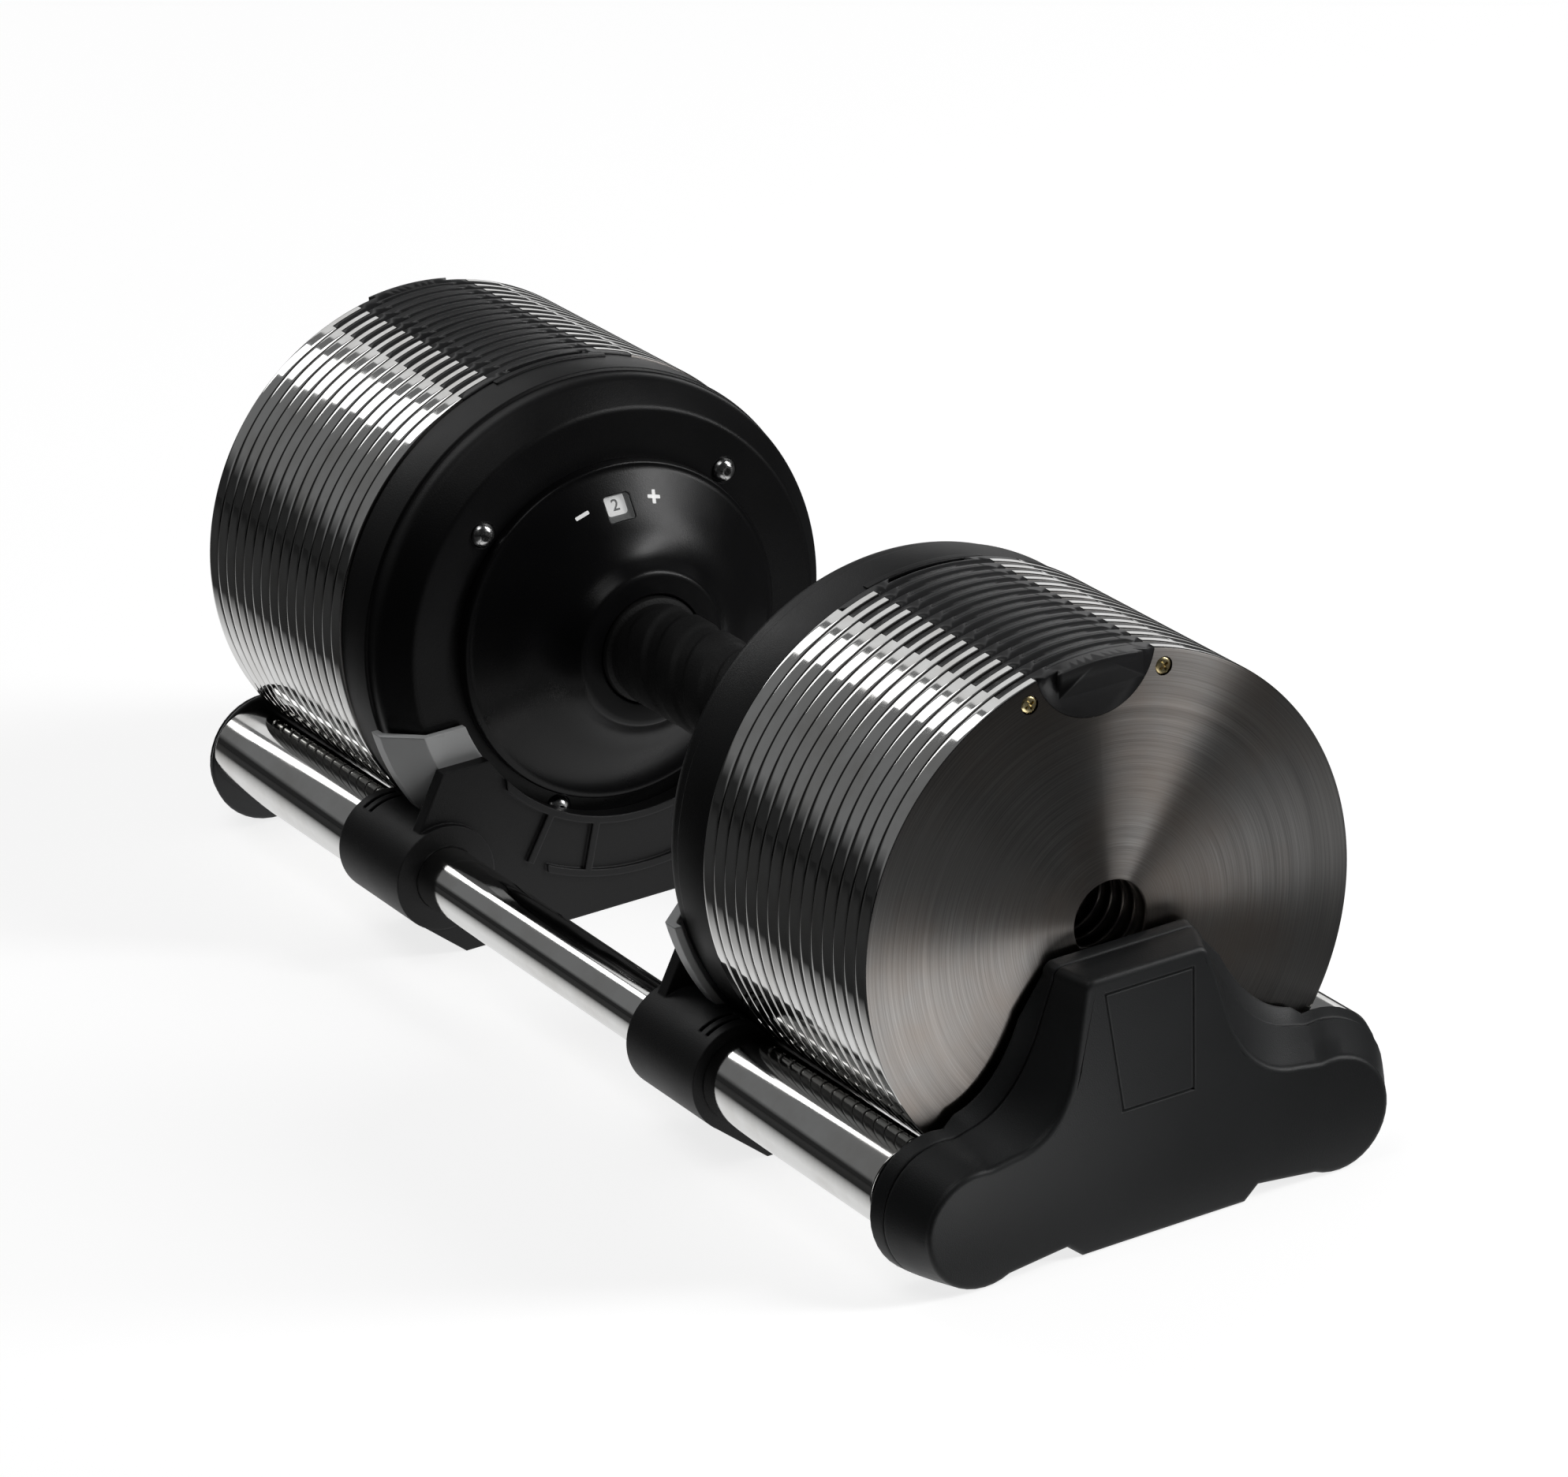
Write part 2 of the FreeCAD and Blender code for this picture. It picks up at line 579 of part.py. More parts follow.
def panel(inset, depth):
    """Tapered panel outline on the tower face, cut to a depth."""
    top = PANEL_TOP_HALF - inset
    foot = PANEL_FOOT_HALF - inset
    z_top = END_OUTER[-1] - PANEL_DROP - inset
    z_foot = END_OUTER[-1] - PANEL_DROP - PANEL_HEIGHT + inset
    loop = [V(COVER_X - depth, -top, z_top), V(COVER_X - depth, top, z_top)]
    loop += [V(COVER_X - depth, foot, z_foot), V(COVER_X - depth, -foot, z_foot)]
    return Part.Face(Part.makePolygon(loop + [loop[0]])).extrude(V(depth + 1, 0, 0))


cover = cover.cut(panel(0.0, PANEL_GROOVE).cut(panel(PANEL_LINE, PANEL_GROOVE)))
for y, z in COVER_SCREW_PLACES:
    cover = cover.cut(rod(END_BODY_X - 1, END_BODY_X + 8.0, COVER_SCREW_R + 0.05, y, z))
write_pair("cradle_cover", cover)

end_body = Part.makeLoft(
    [end_wire(END_X, END_INNER), end_wire(END_BODY_X, END_PARTING)], True, True)
for y in (-TUBE_Y, TUBE_Y):
    end_body = end_body.fuse(rod(END_X, END_BODY_X, TUBE_COLLAR_R, y, TUBE_Z))
for y in (-TUBE_Y, TUBE_Y):
    end_body = end_body.cut(rod(END_X - 1, END_BODY_X + 1, INNER_TUBE_R + TUBE_FIT, y, TUBE_Z))
for y, z in COVER_SCREW_PLACES:
    end_body = end_body.cut(rod(END_X - 1, END_BODY_X + 1, COVER_SCREW_R + 0.05, y, z))
    end_body = end_body.cut(
        rod(END_X - 1, END_X + COVER_SCREW_HEAD_T, COVER_SCREW_HEAD_R + 0.1, y, z))
write_pair("cradle_end", end_body.removeSplitter())

cover_screws = []
for y, z in COVER_SCREW_PLACES:
    head = rod(END_X, END_X + COVER_SCREW_HEAD_T, COVER_SCREW_HEAD_R, y, z)
    shank = rod(END_X, END_X + COVER_SCREW_LENGTH, COVER_SCREW_R, y, z)
    cover_screws.append(head.fuse(shank).cut(rod(END_X - 1, END_X + 1.2, HEX_R, y, z)))
write("cradle_screws", group(cover_screws + [mirrored(s) for s in cover_screws]))

# ---- cradle bracket: collars on the tubes, saddle for the housing, two prongs ----
collars = []
for y in (-TUBE_Y, TUBE_Y):
    collars.append(rod(BRACKET_INNER_X, BRACKET_OUTER_X, TUBE_COLLAR_R, y, TUBE_Z))
saddle_half = [
    (0.0, BASE),
    (TUBE_Y - 6.0, BASE),
    (TUBE_Y + 11.0, TUBE_Z - TUBE_COLLAR_R + 4.0),
    (TUBE_Y + 13.0, TUBE_Z + 10.0),
    (TUBE_Y + 4.0, SHOULDER_TOP),
    (0.0, SHOULDER_TOP),
]
saddle = both_sides(profile(PRONG_OUTER_X - 1.0, BRACKET_OUTER_X, saddle_half))
prong_half = [
    (0.0, BASE),
    (TUBE_Y - 6.0, BASE),
    (TUBE_Y + 11.0, TUBE_Z - TUBE_COLLAR_R + 4.0),
    (TUBE_Y + 8.5, TUBE_Z + 13.0),
    (PRONG_TOP_OUT, PRONG_TOP),
    (0.0, PRONG_TOP),
]
prong = both_sides(profile(PRONG_X, PRONG_OUTER_X, prong_half))
prong = prong.cut(rod(PRONG_X - 1, PRONG_OUTER_X + 1, BRACKET_ARC_R))
bracket = prong.fuse(saddle)
for collar in collars:
    bracket = bracket.fuse(collar)
# room for the housing and for the cheeks around it, all about the handle axis
room_r = HOUSING_R + HOUSING_ROOM
cheek_r = room_r + CHEEK_T
room = turned([
    (PRONG_OUTER_X, 0.0),
    (PRONG_OUTER_X, BEVEL_INNER_R + CHEEK_T),
    (SHOULDER_X - 2.5, cheek_r),
    (SHOULDER_X + CHEEK_LIP, cheek_r),
    (SHOULDER_X + CHEEK_LIP, room_r),
    (BRACKET_OUTER_X + 5.0, room_r),
    (BRACKET_OUTER_X + 5.0, 0.0),
])
bracket = bracket.cut(room)
bracket = bracket.cut(rod(BRACKET_INNER_X - 1, PRONG_OUTER_X, BRACKET_ARC_R))
lock_pocket = Part.makeCylinder(LOCK_R + 2.0, 8, V(LOCK_X, 0, -LOCK_TIP_R - 1.0), V(0, 0, 1))
bracket = bracket.cut(lock_pocket)
# ribs on the face toward the grip
arc_rib = ring(PRONG_X - RIB_RISE, PRONG_X + 1, BRACKET_ARC_R, BRACKET_ARC_R + RIB_T)
arc_rib = arc_rib.common(block(PRONG_X - 5, PRONG_X + 5, -48, 48, -80, -34))
bracket = bracket.fuse(arc_rib)
outer_rib = ring(PRONG_X - RIB_RISE, PRONG_X + 1, BRACKET_ARC_R + RIB_ARC_GAP,
                 BRACKET_ARC_R + RIB_ARC_GAP + RIB_T)
outer_rib = outer_rib.common(block(PRONG_X - 5, PRONG_X + 5, -36, 36, BASE + 2, -50))
bracket = bracket.fuse(outer_rib)
for lean in (-32.0, -16.0, 16.0, 32.0):
    rib = block(PRONG_X - RIB_RISE, PRONG_X + 1, -RIB_T / 2, RIB_T / 2,
                -BRACKET_ARC_R - RIB_ARC_GAP - 1, -BRACKET_ARC_R)
    rib.rotate(V(0, 0, 0), V(1, 0, 0), lean)
    bracket = bracket.fuse(rib)
# two narrow slots across each shoulder, next to the plates
for side in (-1, 1):
    for k in range(2):
        slot_x = BRACKET_OUTER_X - 9.0 + 4.0 * k
        y0, y1 = sorted((side * (TUBE_Y - 3.0), side * (TUBE_Y + 9.0)))
        slot = block(slot_x, slot_x + SHOULDER_SLOT, y0, y1, TUBE_Z + 12.5, TUBE_Z + 40)
        bracket = bracket.cut(slot)
for y in (-TUBE_Y, TUBE_Y):
    bore = rod(BRACKET_INNER_X - 1, BRACKET_OUTER_X + 1, INNER_TUBE_R + TUBE_FIT, y, TUBE_Z)
    bracket = bracket.cut(bore)
write_pair("cradle_bracket", bracket.removeSplitter())

# ---- guide cheeks: shells that follow the flat ring and the bevel ----
flat_x = ANNULUS_X - HOUSING_ROOM
cheek_ring = turned([
    (flat_x, BRACKET_ARC_R),
    (flat_x, BEVEL_INNER_R + 0.4),
    (SHOULDER_X - 0.8, HOUSING_R + 0.1),
    (SHOULDER_X + 0.6, room_r),
    (SHOULDER_X + CHEEK_LIP - 0.1, room_r),
    (SHOULDER_X + CHEEK_LIP - 0.1, cheek_r - 0.05),
    (SHOULDER_X - 2.4, cheek_r - 0.05),
    (PRONG_OUTER_X + 0.05, BEVEL_INNER_R + CHEEK_T - 0.2),
    (PRONG_OUTER_X + 0.05, BRACKET_ARC_R),
])
cheek = cheek_ring.common(block(
    PRONG_X, STACK_X, CHEEK_INNER_Y, cheek_r + 5.0, CHEEK_FOOT, CHEEK_TOP))
cheek = cheek.cut(bracket)
cheek_pair = [cheek, cheek.mirror(V(0, 0, 0), V(0, 1, 0))]
write("guide_cheeks", group(cheek_pair + [mirrored(c) for c in cheek_pair]))
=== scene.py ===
import math

import bmesh
import bpy
from mathutils import Matrix, Vector


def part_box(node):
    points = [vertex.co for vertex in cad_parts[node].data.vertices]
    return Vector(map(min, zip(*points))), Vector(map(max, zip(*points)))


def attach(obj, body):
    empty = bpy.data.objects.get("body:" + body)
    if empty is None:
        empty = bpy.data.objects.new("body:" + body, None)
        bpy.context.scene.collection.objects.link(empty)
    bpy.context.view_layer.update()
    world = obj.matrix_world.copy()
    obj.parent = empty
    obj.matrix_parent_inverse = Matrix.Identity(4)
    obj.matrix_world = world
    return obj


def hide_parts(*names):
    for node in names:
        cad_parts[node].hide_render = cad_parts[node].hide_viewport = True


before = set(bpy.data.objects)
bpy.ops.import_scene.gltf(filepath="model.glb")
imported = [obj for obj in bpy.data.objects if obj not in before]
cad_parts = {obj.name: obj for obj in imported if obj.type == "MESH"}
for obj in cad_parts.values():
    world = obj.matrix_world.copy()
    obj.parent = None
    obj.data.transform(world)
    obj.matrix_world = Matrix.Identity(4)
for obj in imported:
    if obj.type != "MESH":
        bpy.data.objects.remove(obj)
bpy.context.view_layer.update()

# ---------------------------------------------------------------- cradle tubes
# Two plain steel tubes carry the cradle from end to end.  Over them slide four
# thicker sleeves, chromed and polished, on which the lowest plates rest.


both_sides = ((1, "right"), (-1, "left"))


def node(tree, kind, values=None, **settings):
    """Add one node, set its options and fill or link its inputs."""
    made = tree.nodes.new(kind)
    for option, value in settings.items():
        setattr(made, option, value)
    for socket, value in (values or {}).items():
        if isinstance(value, bpy.types.NodeSocket):
            tree.links.new(value, made.inputs[socket])
        else:
            made.inputs[socket].default_value = value
    return made


def calc(tree, operation, *values):
    """One step of arithmetic; returns its result."""
    made = node(tree, "ShaderNodeMath", dict(enumerate(values)), operation=operation)
    return made.outputs[0]


def own_place(tree):
    """Place of a shading point in the piece's own coordinates."""
    return node(tree, "ShaderNodeTexCoord").outputs["Object"]


def split(tree, vector):
    """The three parts of a vector."""
    return node(tree, "ShaderNodeSeparateXYZ", {0: vector}).outputs


def relief(tree, height, strength, distance=0.0001, **values):
    """Normal bent by a small relief."""
    made = node(tree, "ShaderNodeBump", {
        "Height": height, "Strength": strength, "Distance": distance, **values})
    return made.outputs[0]


def effect(name, takes, gives):
    """An empty shader group with named sockets, and its two ends."""
    tree = bpy.data.node_groups.new(name, "ShaderNodeTree")
    for label, value in takes.items():
        socket = tree.interface.new_socket(
            label, in_out="INPUT", socket_type="NodeSocketFloat")
        socket.default_value = value
    for label, kind in gives.items():
        tree.interface.new_socket(
            label, in_out="OUTPUT", socket_type="NodeSocket" + kind)
    start = tree.nodes.new("NodeGroupInput")
    end = tree.nodes.new("NodeGroupOutput")
    return tree, start.outputs, end.inputs


def use(tree, group, **values):
    """Place an effect in a material; names have _ for spaces."""
    made = node(tree, "ShaderNodeGroup", node_tree=group)
    for label, value in values.items():
        made.inputs[label.replace("_", " ")].default_value = value
    return made.outputs


def finish(name, constants):
    """A new material with the shader's constant values set on it."""
    made = bpy.data.materials.new(name)
    made.use_nodes = True
    shader = made.node_tree.nodes["Principled BSDF"]
    for socket, value in constants.items():
        shader.inputs[socket].default_value = value
    return made, made.node_tree, shader.inputs


def wire(tree, shader, **results):
    """Link results to the shader's inputs; names have _ for spaces."""
    for label, result in results.items():
        tree.links.new(result, shader[label.replace("_", " ")])


def mix(tree, share, one, two):
    """Blend of two colours by a mask."""
    made = node(tree, "ShaderNodeMix", data_type="RGBA")
    for socket, value in ((0, share), (6, one), (7, two)):
        if isinstance(value, bpy.types.NodeSocket):
            tree.links.new(value, made.inputs[socket])
        else:
            made.inputs[socket].default_value = value
    return made.outputs[2]


def span(tree, value, low, high, out_low, out_high):
    """Stretch a value from one range to another, held at both ends."""
    made = node(tree, "ShaderNodeMapRange", {
        "Value": value, "From Min": low, "From Max": high,
        "To Min": out_low, "To Max": out_high})
    return made.outputs[0]


# smudges left by hands and packing, as a slow cloud with soft edges
smudges, takes, gives = effect("Smudges", {"Spots per metre": 30.0}, {"Mask": "Float"})
cloud = node(smudges, "ShaderNodeTexNoise", {
    "Vector": own_place(smudges), "Scale": takes[0], "Detail": 4.0, "Roughness": 0.6})
smudges.links.new(span(smudges, cloud.outputs["Fac"], 0.42, 0.68, 0.0, 1.0), gives[0])

# fine lines left by turning or grinding round an axis along X
turned_lines, takes, gives = effect(
    "Turned lines",
    {"Axis height": 0.0, "Axis depth": 0.0, "Lines per metre": 3000.0},
    {"Line": "Float", "Band": "Float"})
apart = split(turned_lines, own_place(turned_lines))
across = calc(turned_lines, "SUBTRACT", apart[1], takes[1])
above = calc(turned_lines, "SUBTRACT", apart[2], takes[0])
radius = calc(turned_lines, "SQRT", calc(
    turned_lines, "ADD", calc(turned_lines, "MULTIPLY", across, across),
    calc(turned_lines, "MULTIPLY", above, above)))
along = calc(turned_lines, "MULTIPLY", calc(turned_lines, "ADD", radius, apart[0]), takes[2])
turn_share = calc(turned_lines, "ARCTAN2", across, above)
lined = node(turned_lines, "ShaderNodeCombineXYZ", {0: along, 1: turn_share}).outputs[0]
fine = node(turned_lines, "ShaderNodeTexNoise", {
    "Vector": lined, "Scale": 1.0, "Detail": 2.0, "Roughness": 0.7})
slow = node(turned_lines, "ShaderNodeTexNoise", {
    "Vector": lined, "Scale": 0.12, "Detail": 2.0})
turned_lines.links.new(fine.outputs["Fac"], gives[0])
turned_lines.links.new(slow.outputs["Fac"], gives[1])

chrome, tree, shader = finish("polished chrome", {"Metallic": 1.0, "Anisotropic": 0.25})
marks = use(tree, smudges, Spots_per_metre=45.0)
lines = use(tree, turned_lines, Axis_height=0.028, Lines_per_metre=2600.0)
wire(tree, shader,
     Base_Color=mix(tree, marks[0], (0.80, 0.80, 0.79, 1), (0.70, 0.69, 0.67, 1)),
     Roughness=span(tree, marks[0], 0.0, 1.0, 0.045, 0.12),
     Normal=relief(tree, lines[0], 0.05))


def rounded(corners, cuts=4):
    """Closed outline with each (x, radius, softness) corner eased to a curve."""
    eased = []
    for k, (x, r, ease) in enumerate(corners):
        here = Vector((x, r))
        back = Vector(corners[k - 1][:2]) - here
        ahead = Vector(corners[(k + 1) % len(corners)][:2]) - here
        if ease == 0:
            eased.append(here)
            continue
        start = here + back * min(ease / back.length, 0.45)
        end = here + ahead * min(ease / ahead.length, 0.45)
        for step in range(cuts + 1):
            t = step / cuts
            eased.append(start * (1 - t) ** 2 + here * 2 * t * (1 - t) + end * t * t)
    return eased


def meshed(shape, name):
    """Turn the faces outwards and give the finished mesh."""
    bmesh.ops.recalc_face_normals(shape, faces=shape.faces)
    mesh = bpy.data.meshes.new(name)
    shape.to_mesh(mesh)
    shape.free()
    return mesh


def skin(shape, one, two):
    """Faces between two closed rows of corners."""
    for k in range(len(one)):
        n = (k + 1) % len(one)
        shape.faces.new((one[k], one[n], two[n], two[k]))


def turned(outline, middle=(0.0, 0.0), steps=96, side=1):
    """Ring of an outline of (x, radius) about a line along X through (y, z)."""
    shape = bmesh.new()
    unwrap = shape.loops.layers.uv.new("round")
    rings = []
    for step in range(steps):
        a = math.tau * step / steps
        rings.append([shape.verts.new((
            side * x, middle[0] + r * math.sin(a), middle[1] + r * math.cos(a)))
            for x, r in outline])
    count = len(outline)
    for step in range(steps):
        one, two = rings[step], rings[(step + 1) % steps]
        for k in range(count):
            n = (k + 1) % count
            face = shape.faces.new((one[k], one[n], two[n], two[k]))
            for loop, share, row in zip(face.loops, (0, 0, 1, 1), (k, n, n, k)):
                loop[unwrap].uv = ((step + share) / steps, outline[row][1] * 10)
    bmesh.ops.remove_doubles(shape, verts=shape.verts, dist=1e-7)
    return meshed(shape, "turned")


def fit(name, mesh, material, body, replaced=(), crease=32):
    """Show a finished mesh as a piece that rides on a CAD body."""
    piece = bpy.data.objects.new(name, mesh)
    bpy.context.scene.collection.objects.link(piece)
    if material:
        mesh.materials.clear()
        mesh.materials.append(material)
    mesh.polygons.foreach_set("use_smooth", [True] * len(mesh.polygons))
    mesh.set_sharp_from_angle(angle=math.radians(crease))
    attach(piece, body)
    if replaced:
        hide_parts(*replaced)
    return piece


def joined(meshes):
    """Several meshes as one."""
    shape = bmesh.new()
    for mesh in meshes:
        shape.from_mesh(mesh)
    whole = bpy.data.meshes.new("joined")
    shape.to_mesh(whole)
    shape.free()
    return whole


axis_z = (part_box("core_tube")[0].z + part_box("core_tube")[1].z) / 2
sleeve_low, sleeve_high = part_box("tube_sleeves")
sleeve_r = 0.014
tube_r = 0.0105
tube_y = sleeve_high.y - sleeve_r
tube_z = (sleeve_low.z + sleeve_high.z) / 2
sleeve_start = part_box("cradle_bracket_right")[1].x + 0.0001
tube_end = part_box("cradle_tubes")[1].x

tubes = []
sleeves = []
for y in (-tube_y, tube_y):
    tubes.append(turned(rounded([
        (-tube_end, tube_r - 0.0015, 0), (tube_end, tube_r - 0.0015, 0),
        (tube_end, tube_r, 0.0004), (-tube_end, tube_r, 0.0004)]), (y, tube_z)))
    for side in (-1, 1):
        sleeves.append(turned(rounded([
            (sleeve_start, tube_r + 0.0001, 0), (sleeve_high.x, tube_r + 0.0001, 0),
            (sleeve_high.x, sleeve_r, 0.0005), (sleeve_start, sleeve_r, 0.0005)]),
            (y, tube_z), 128, side))
fit("cradle_tube_pair", joined(tubes), chrome, "cradle", ["cradle_tubes"])
fit("plate_sleeves", joined(sleeves), chrome, "cradle", ["tube_sleeves"])

# ---------------------------------------------------------------- cradle brackets
# Two dark mouldings clamp the tubes and hold the housings from below.  Each has
# a tall prong at both sides and thin ribs; the moulding has a fine matte grain.

# fine spark-eroded grain of a moulded surface, with slow change of tone
moulded_grain, takes, gives = effect(
    "Moulded grain", {"Grain per metre": 2400.0, "Clouds per metre": 16.0},
    {"Height": "Float", "Tone": "Float"})
place = own_place(moulded_grain)
pits = node(moulded_grain, "ShaderNodeTexVoronoi", {"Vector": place, "Scale": takes[0]})
dots = node(moulded_grain, "ShaderNodeTexNoise", {
    "Vector": place, "Scale": takes[0], "Detail": 2.0})
cloud = node(moulded_grain, "ShaderNodeTexNoise", {
    "Vector": place, "Scale": takes[1], "Detail": 3.0, "Roughness": 0.6})
moulded_grain.links.new(calc(
    moulded_grain, "ADD", calc(moulded_grain, "MULTIPLY", pits.outputs[0], 0.5),
    dots.outputs["Fac"]), gives[0])
moulded_grain.links.new(cloud.outputs["Fac"], gives[1])

# rubbed, slightly rounded corners: how far a softened normal leans from the face; the mask
# lightens corners, partly as rub wear and partly as a painted highlight
soft_corner, takes, gives = effect(
    "Soft corners", {"Width": 0.0006}, {"Rub and highlight": "Float", "Normal": "Vector"})
eased = node(soft_corner, "ShaderNodeBevel", {"Radius": takes[0]}, samples=6).outputs[0]
flat = node(soft_corner, "ShaderNodeNewGeometry").outputs["Normal"]
lean = node(soft_corner, "ShaderNodeVectorMath", {0: eased, 1: flat}, operation="DOT_PRODUCT")
soft_corner.links.new(span(soft_corner, lean.outputs["Value"], 0.995, 0.80, 0.0, 1.0), gives[0])
soft_corner.links.new(eased, gives[1])


def dress(name, material):
    """Give a CAD piece its material; its mesh stays as it is."""
    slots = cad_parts[name].data.materials
    slots.clear()
    slots.append(material)


def plastic(name, colour, light, rough, width=0.0006, depth=0.35, grain=2400.0, shine=0.5):
    """Moulded plastic: grain, cloudy tone and corners lightened as rub wear and painted highlight.
    """
    made, tree, shader = finish(name, {"IOR": 1.5, "Specular IOR Level": shine})
    mould = use(tree, moulded_grain, Grain_per_metre=grain)
    corner = use(tree, soft_corner, Width=width)
    marks = use(tree, smudges, Spots_per_metre=24.0)
    dark = tuple(0.82 * part for part in colour[:3]) + (1,)
    body = mix(tree, span(tree, mould["Tone"], 0.35, 0.65, 0.0, 1.0), dark, colour)
    base = span(tree, mould["Tone"], 0.3, 0.7, rough - 0.05, rough + 0.05)
    # corners go toward the light colour: partly rub wear, partly a painted highlight along the
    # edges
    wire(tree, shader,
         Base_Color=mix(tree, calc(tree, "MULTIPLY", corner["Rub and highlight"], 0.55), body, light),
         Roughness=calc(tree, "SUBTRACT", base, calc(tree, "MULTIPLY", marks["Mask"], 0.05)),
         Normal=relief(tree, mould["Height"], depth, 0.00012, Normal=corner["Normal"]))
    return made


bracket_black = plastic(
    "bracket black moulding", (0.009, 0.009, 0.0095, 1), (0.04, 0.04, 0.042, 1), 0.48, 0.0009,
    shine=0.3)
for name in ("right", "left"):
    dress("cradle_bracket_" + name, bracket_black)

# ---------------------------------------------------------------- guide cheeks
# Light-grey clipped shells beside each bracket guide the housing as the handle
# is set down.  They are smooth, a little glossier than the cradle.
cheek_grey = plastic(
    "light grey cheek", (0.72, 0.73, 0.73, 1), (0.82, 0.82, 0.82, 1), 0.34, 0.0008, 0.12)
dress("guide_cheeks", cheek_grey)

# ---------------------------------------------------------------- cradle ends
# Each end is two mouldings screwed together: an inner body with the tube
# collars and an outer cover with a rounded tower that faces the last plate.


cradle_black = plastic(
    "cradle black moulding", (0.017, 0.018, 0.019, 1), (0.06, 0.062, 0.064, 1), 0.46, 0.0009,
    shine=0.42)


def end_outline(lobe, shoulder, middle, foot, half, top, base):
    """Half outline of a cradle end, from the base to the middle of the top."""
    lobe_y, lobe_z, lobe_r = lobe
    under = math.sqrt(lobe_r ** 2 - 0.008 ** 2)
    over = math.sqrt(lobe_r ** 2 - 0.004 ** 2)
    side = [Vector((0.0, base)), Vector((0.014, base)), Vector((0.028, base))]
    side.append(Vector((0.033, base + 0.0042)))
    here = Vector((lobe_y - 0.008, lobe_z - under))
    for k in range(1, 6):
        side.append(side[3].lerp(here, k / 6))
    first = math.atan2(-under, -0.008)
    last = math.atan2(over, -0.004)
    for k in range(25):
        a = first + (last - first) * k / 24
        side.append(Vector((lobe_y + lobe_r * math.cos(a), lobe_z + lobe_r * math.sin(a))))
    lobe_end = side[-1]
    shoulder, middle, foot = Vector(shoulder), Vector(middle), Vector(foot)
    for k in range(1, 5):
        side.append(lobe_end.lerp(shoulder, k / 4))
    # one smooth sweep from the shoulder up the tower, through the middle point
    pull = middle * 2 - (shoulder + foot) / 2
    for k in range(1, 15):
        t = k / 14
        side.append(shoulder * (1 - t) ** 2 + pull * 2 * t * (1 - t) + foot * t * t)
    corner = 0.0036
    high = Vector((half, top - corner))
    for k in range(1, 8):
        side.append(foot.lerp(high, k / 7))
    centre = Vector((half - corner, top - corner))
    for k in range(1, 8):
        a = math.pi / 2 * k / 7
        side.append(centre + corner * Vector((math.cos(a), math.sin(a))))
    side.append(Vector(((half - corner) / 2, top)))
    side.append(Vector((0.0, top)))
    return side


def whole(side):
    """Both halves of an outline, once round."""
    return side + [Vector((-p.x, p.y)) for p in side[-2:0:-1]]


def drawn_in(outline, distance):
    """An outline moved inwards by a distance, corner by corner."""
    moved = []
    for k, here in enumerate(outline):
        ahead = (outline[(k + 1) % len(outline)] - here).normalized()
        back = (here - outline[k - 1]).normalized()
        way = (ahead + back).normalized()
        moved.append(here + distance * Vector((-way.y, way.x)))
    return moved


def lofted(stations, side):
    """Closed skin through (x, outline) stations, flat at both ends."""
    shape = bmesh.new()
    rows = [[shape.verts.new((side * x, p.x, p.y)) for p in outline] for x, outline in stations]
    for low, high in zip(rows, rows[1:]):
        skin(shape, low, high)
    ends = [shape.faces.new(rows[0]), shape.faces.new(rows[-1])]
    bmesh.ops.triangulate(shape, faces=ends, ngon_method="EAR_CLIP")
    return meshed(shape, "lofted")


def end_places(lobe, shoulder, middle, foot, half, top):
    """An outline whose heights are given from the handle axis."""
    lift = axis_z
    return whole(end_outline(
        (lobe[0], lobe[1] + lift, lobe[2]), (shoulder[0], shoulder[1] + lift),
        (middle[0], middle[1] + lift), (foot[0], foot[1] + lift), half, top + lift, 0.0))


inner_outline = end_places(
    (0.066, -0.0685, 0.022), (0.058, -0.0435), (0.045, -0.036), (0.0345, -0.020), 0.0255, -0.005)
parting_outline = end_places(
    (0.065, -0.0695, 0.0215), (0.055, -0.0468), (0.0425, -0.040), (0.032, -0.025), 0.025, -0.0056)
outer_outline = end_places(
    (0.061, -0.0728, 0.0186), (0.0495, -0.0534), (0.036, -0.0478), (0.027, -0.033), 0.0215, -0.007)
body_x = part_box("cradle_end_right")[0].x
cover_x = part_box("cradle_cover_right")[0].x
face_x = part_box("cradle_cover_right")[1].x
edge = 0.0018


def drawn(outline, share):
    """An outline eased in, with its foot kept on the base."""
    return [Vector((p.x, max(p.y, 0.0))) for p in drawn_in(outline, share)]


def solid(mesh, name="made"):
    """An object for a mesh, in the scene."""
    made = bpy.data.objects.new(name, mesh)
    bpy.context.scene.collection.objects.link(made)
    return made


def settled(host):
    """Plain mesh of an object with its modifiers applied; the object goes."""
    graph = bpy.context.evaluated_depsgraph_get()
    mesh = bpy.data.meshes.new_from_object(host.evaluated_get(graph))
    bpy.data.objects.remove(host)
    return mesh


def cut(mesh, cutters):
    """A mesh with the cutters taken out of it."""
    host = solid(mesh)
    tools = [solid(cutter) for cutter in cutters]
    for tool in tools:
        step = host.modifiers.new("cut", "BOOLEAN")
        step.operation = "DIFFERENCE"
        step.solver = "EXACT"
        step.object = tool
    mesh = settled(host)
    for tool in tools:
        bpy.data.objects.remove(tool)
    return mesh


def groove(outline, width, x0, x1, side):
    """Cutter that sinks a line along a closed outline, between two places in X."""
    shape = bmesh.new()
    rows = []
    for x in (x0, x1):
        for path in (outline, drawn_in(outline, width)):
            rows.append([shape.verts.new((side * x, p.x, p.y)) for p in path])
    for one, two in ((0, 1), (1, 3), (3, 2), (2, 0)):
        skin(shape, rows[one], rows[two])
    return meshed(shape, "groove")


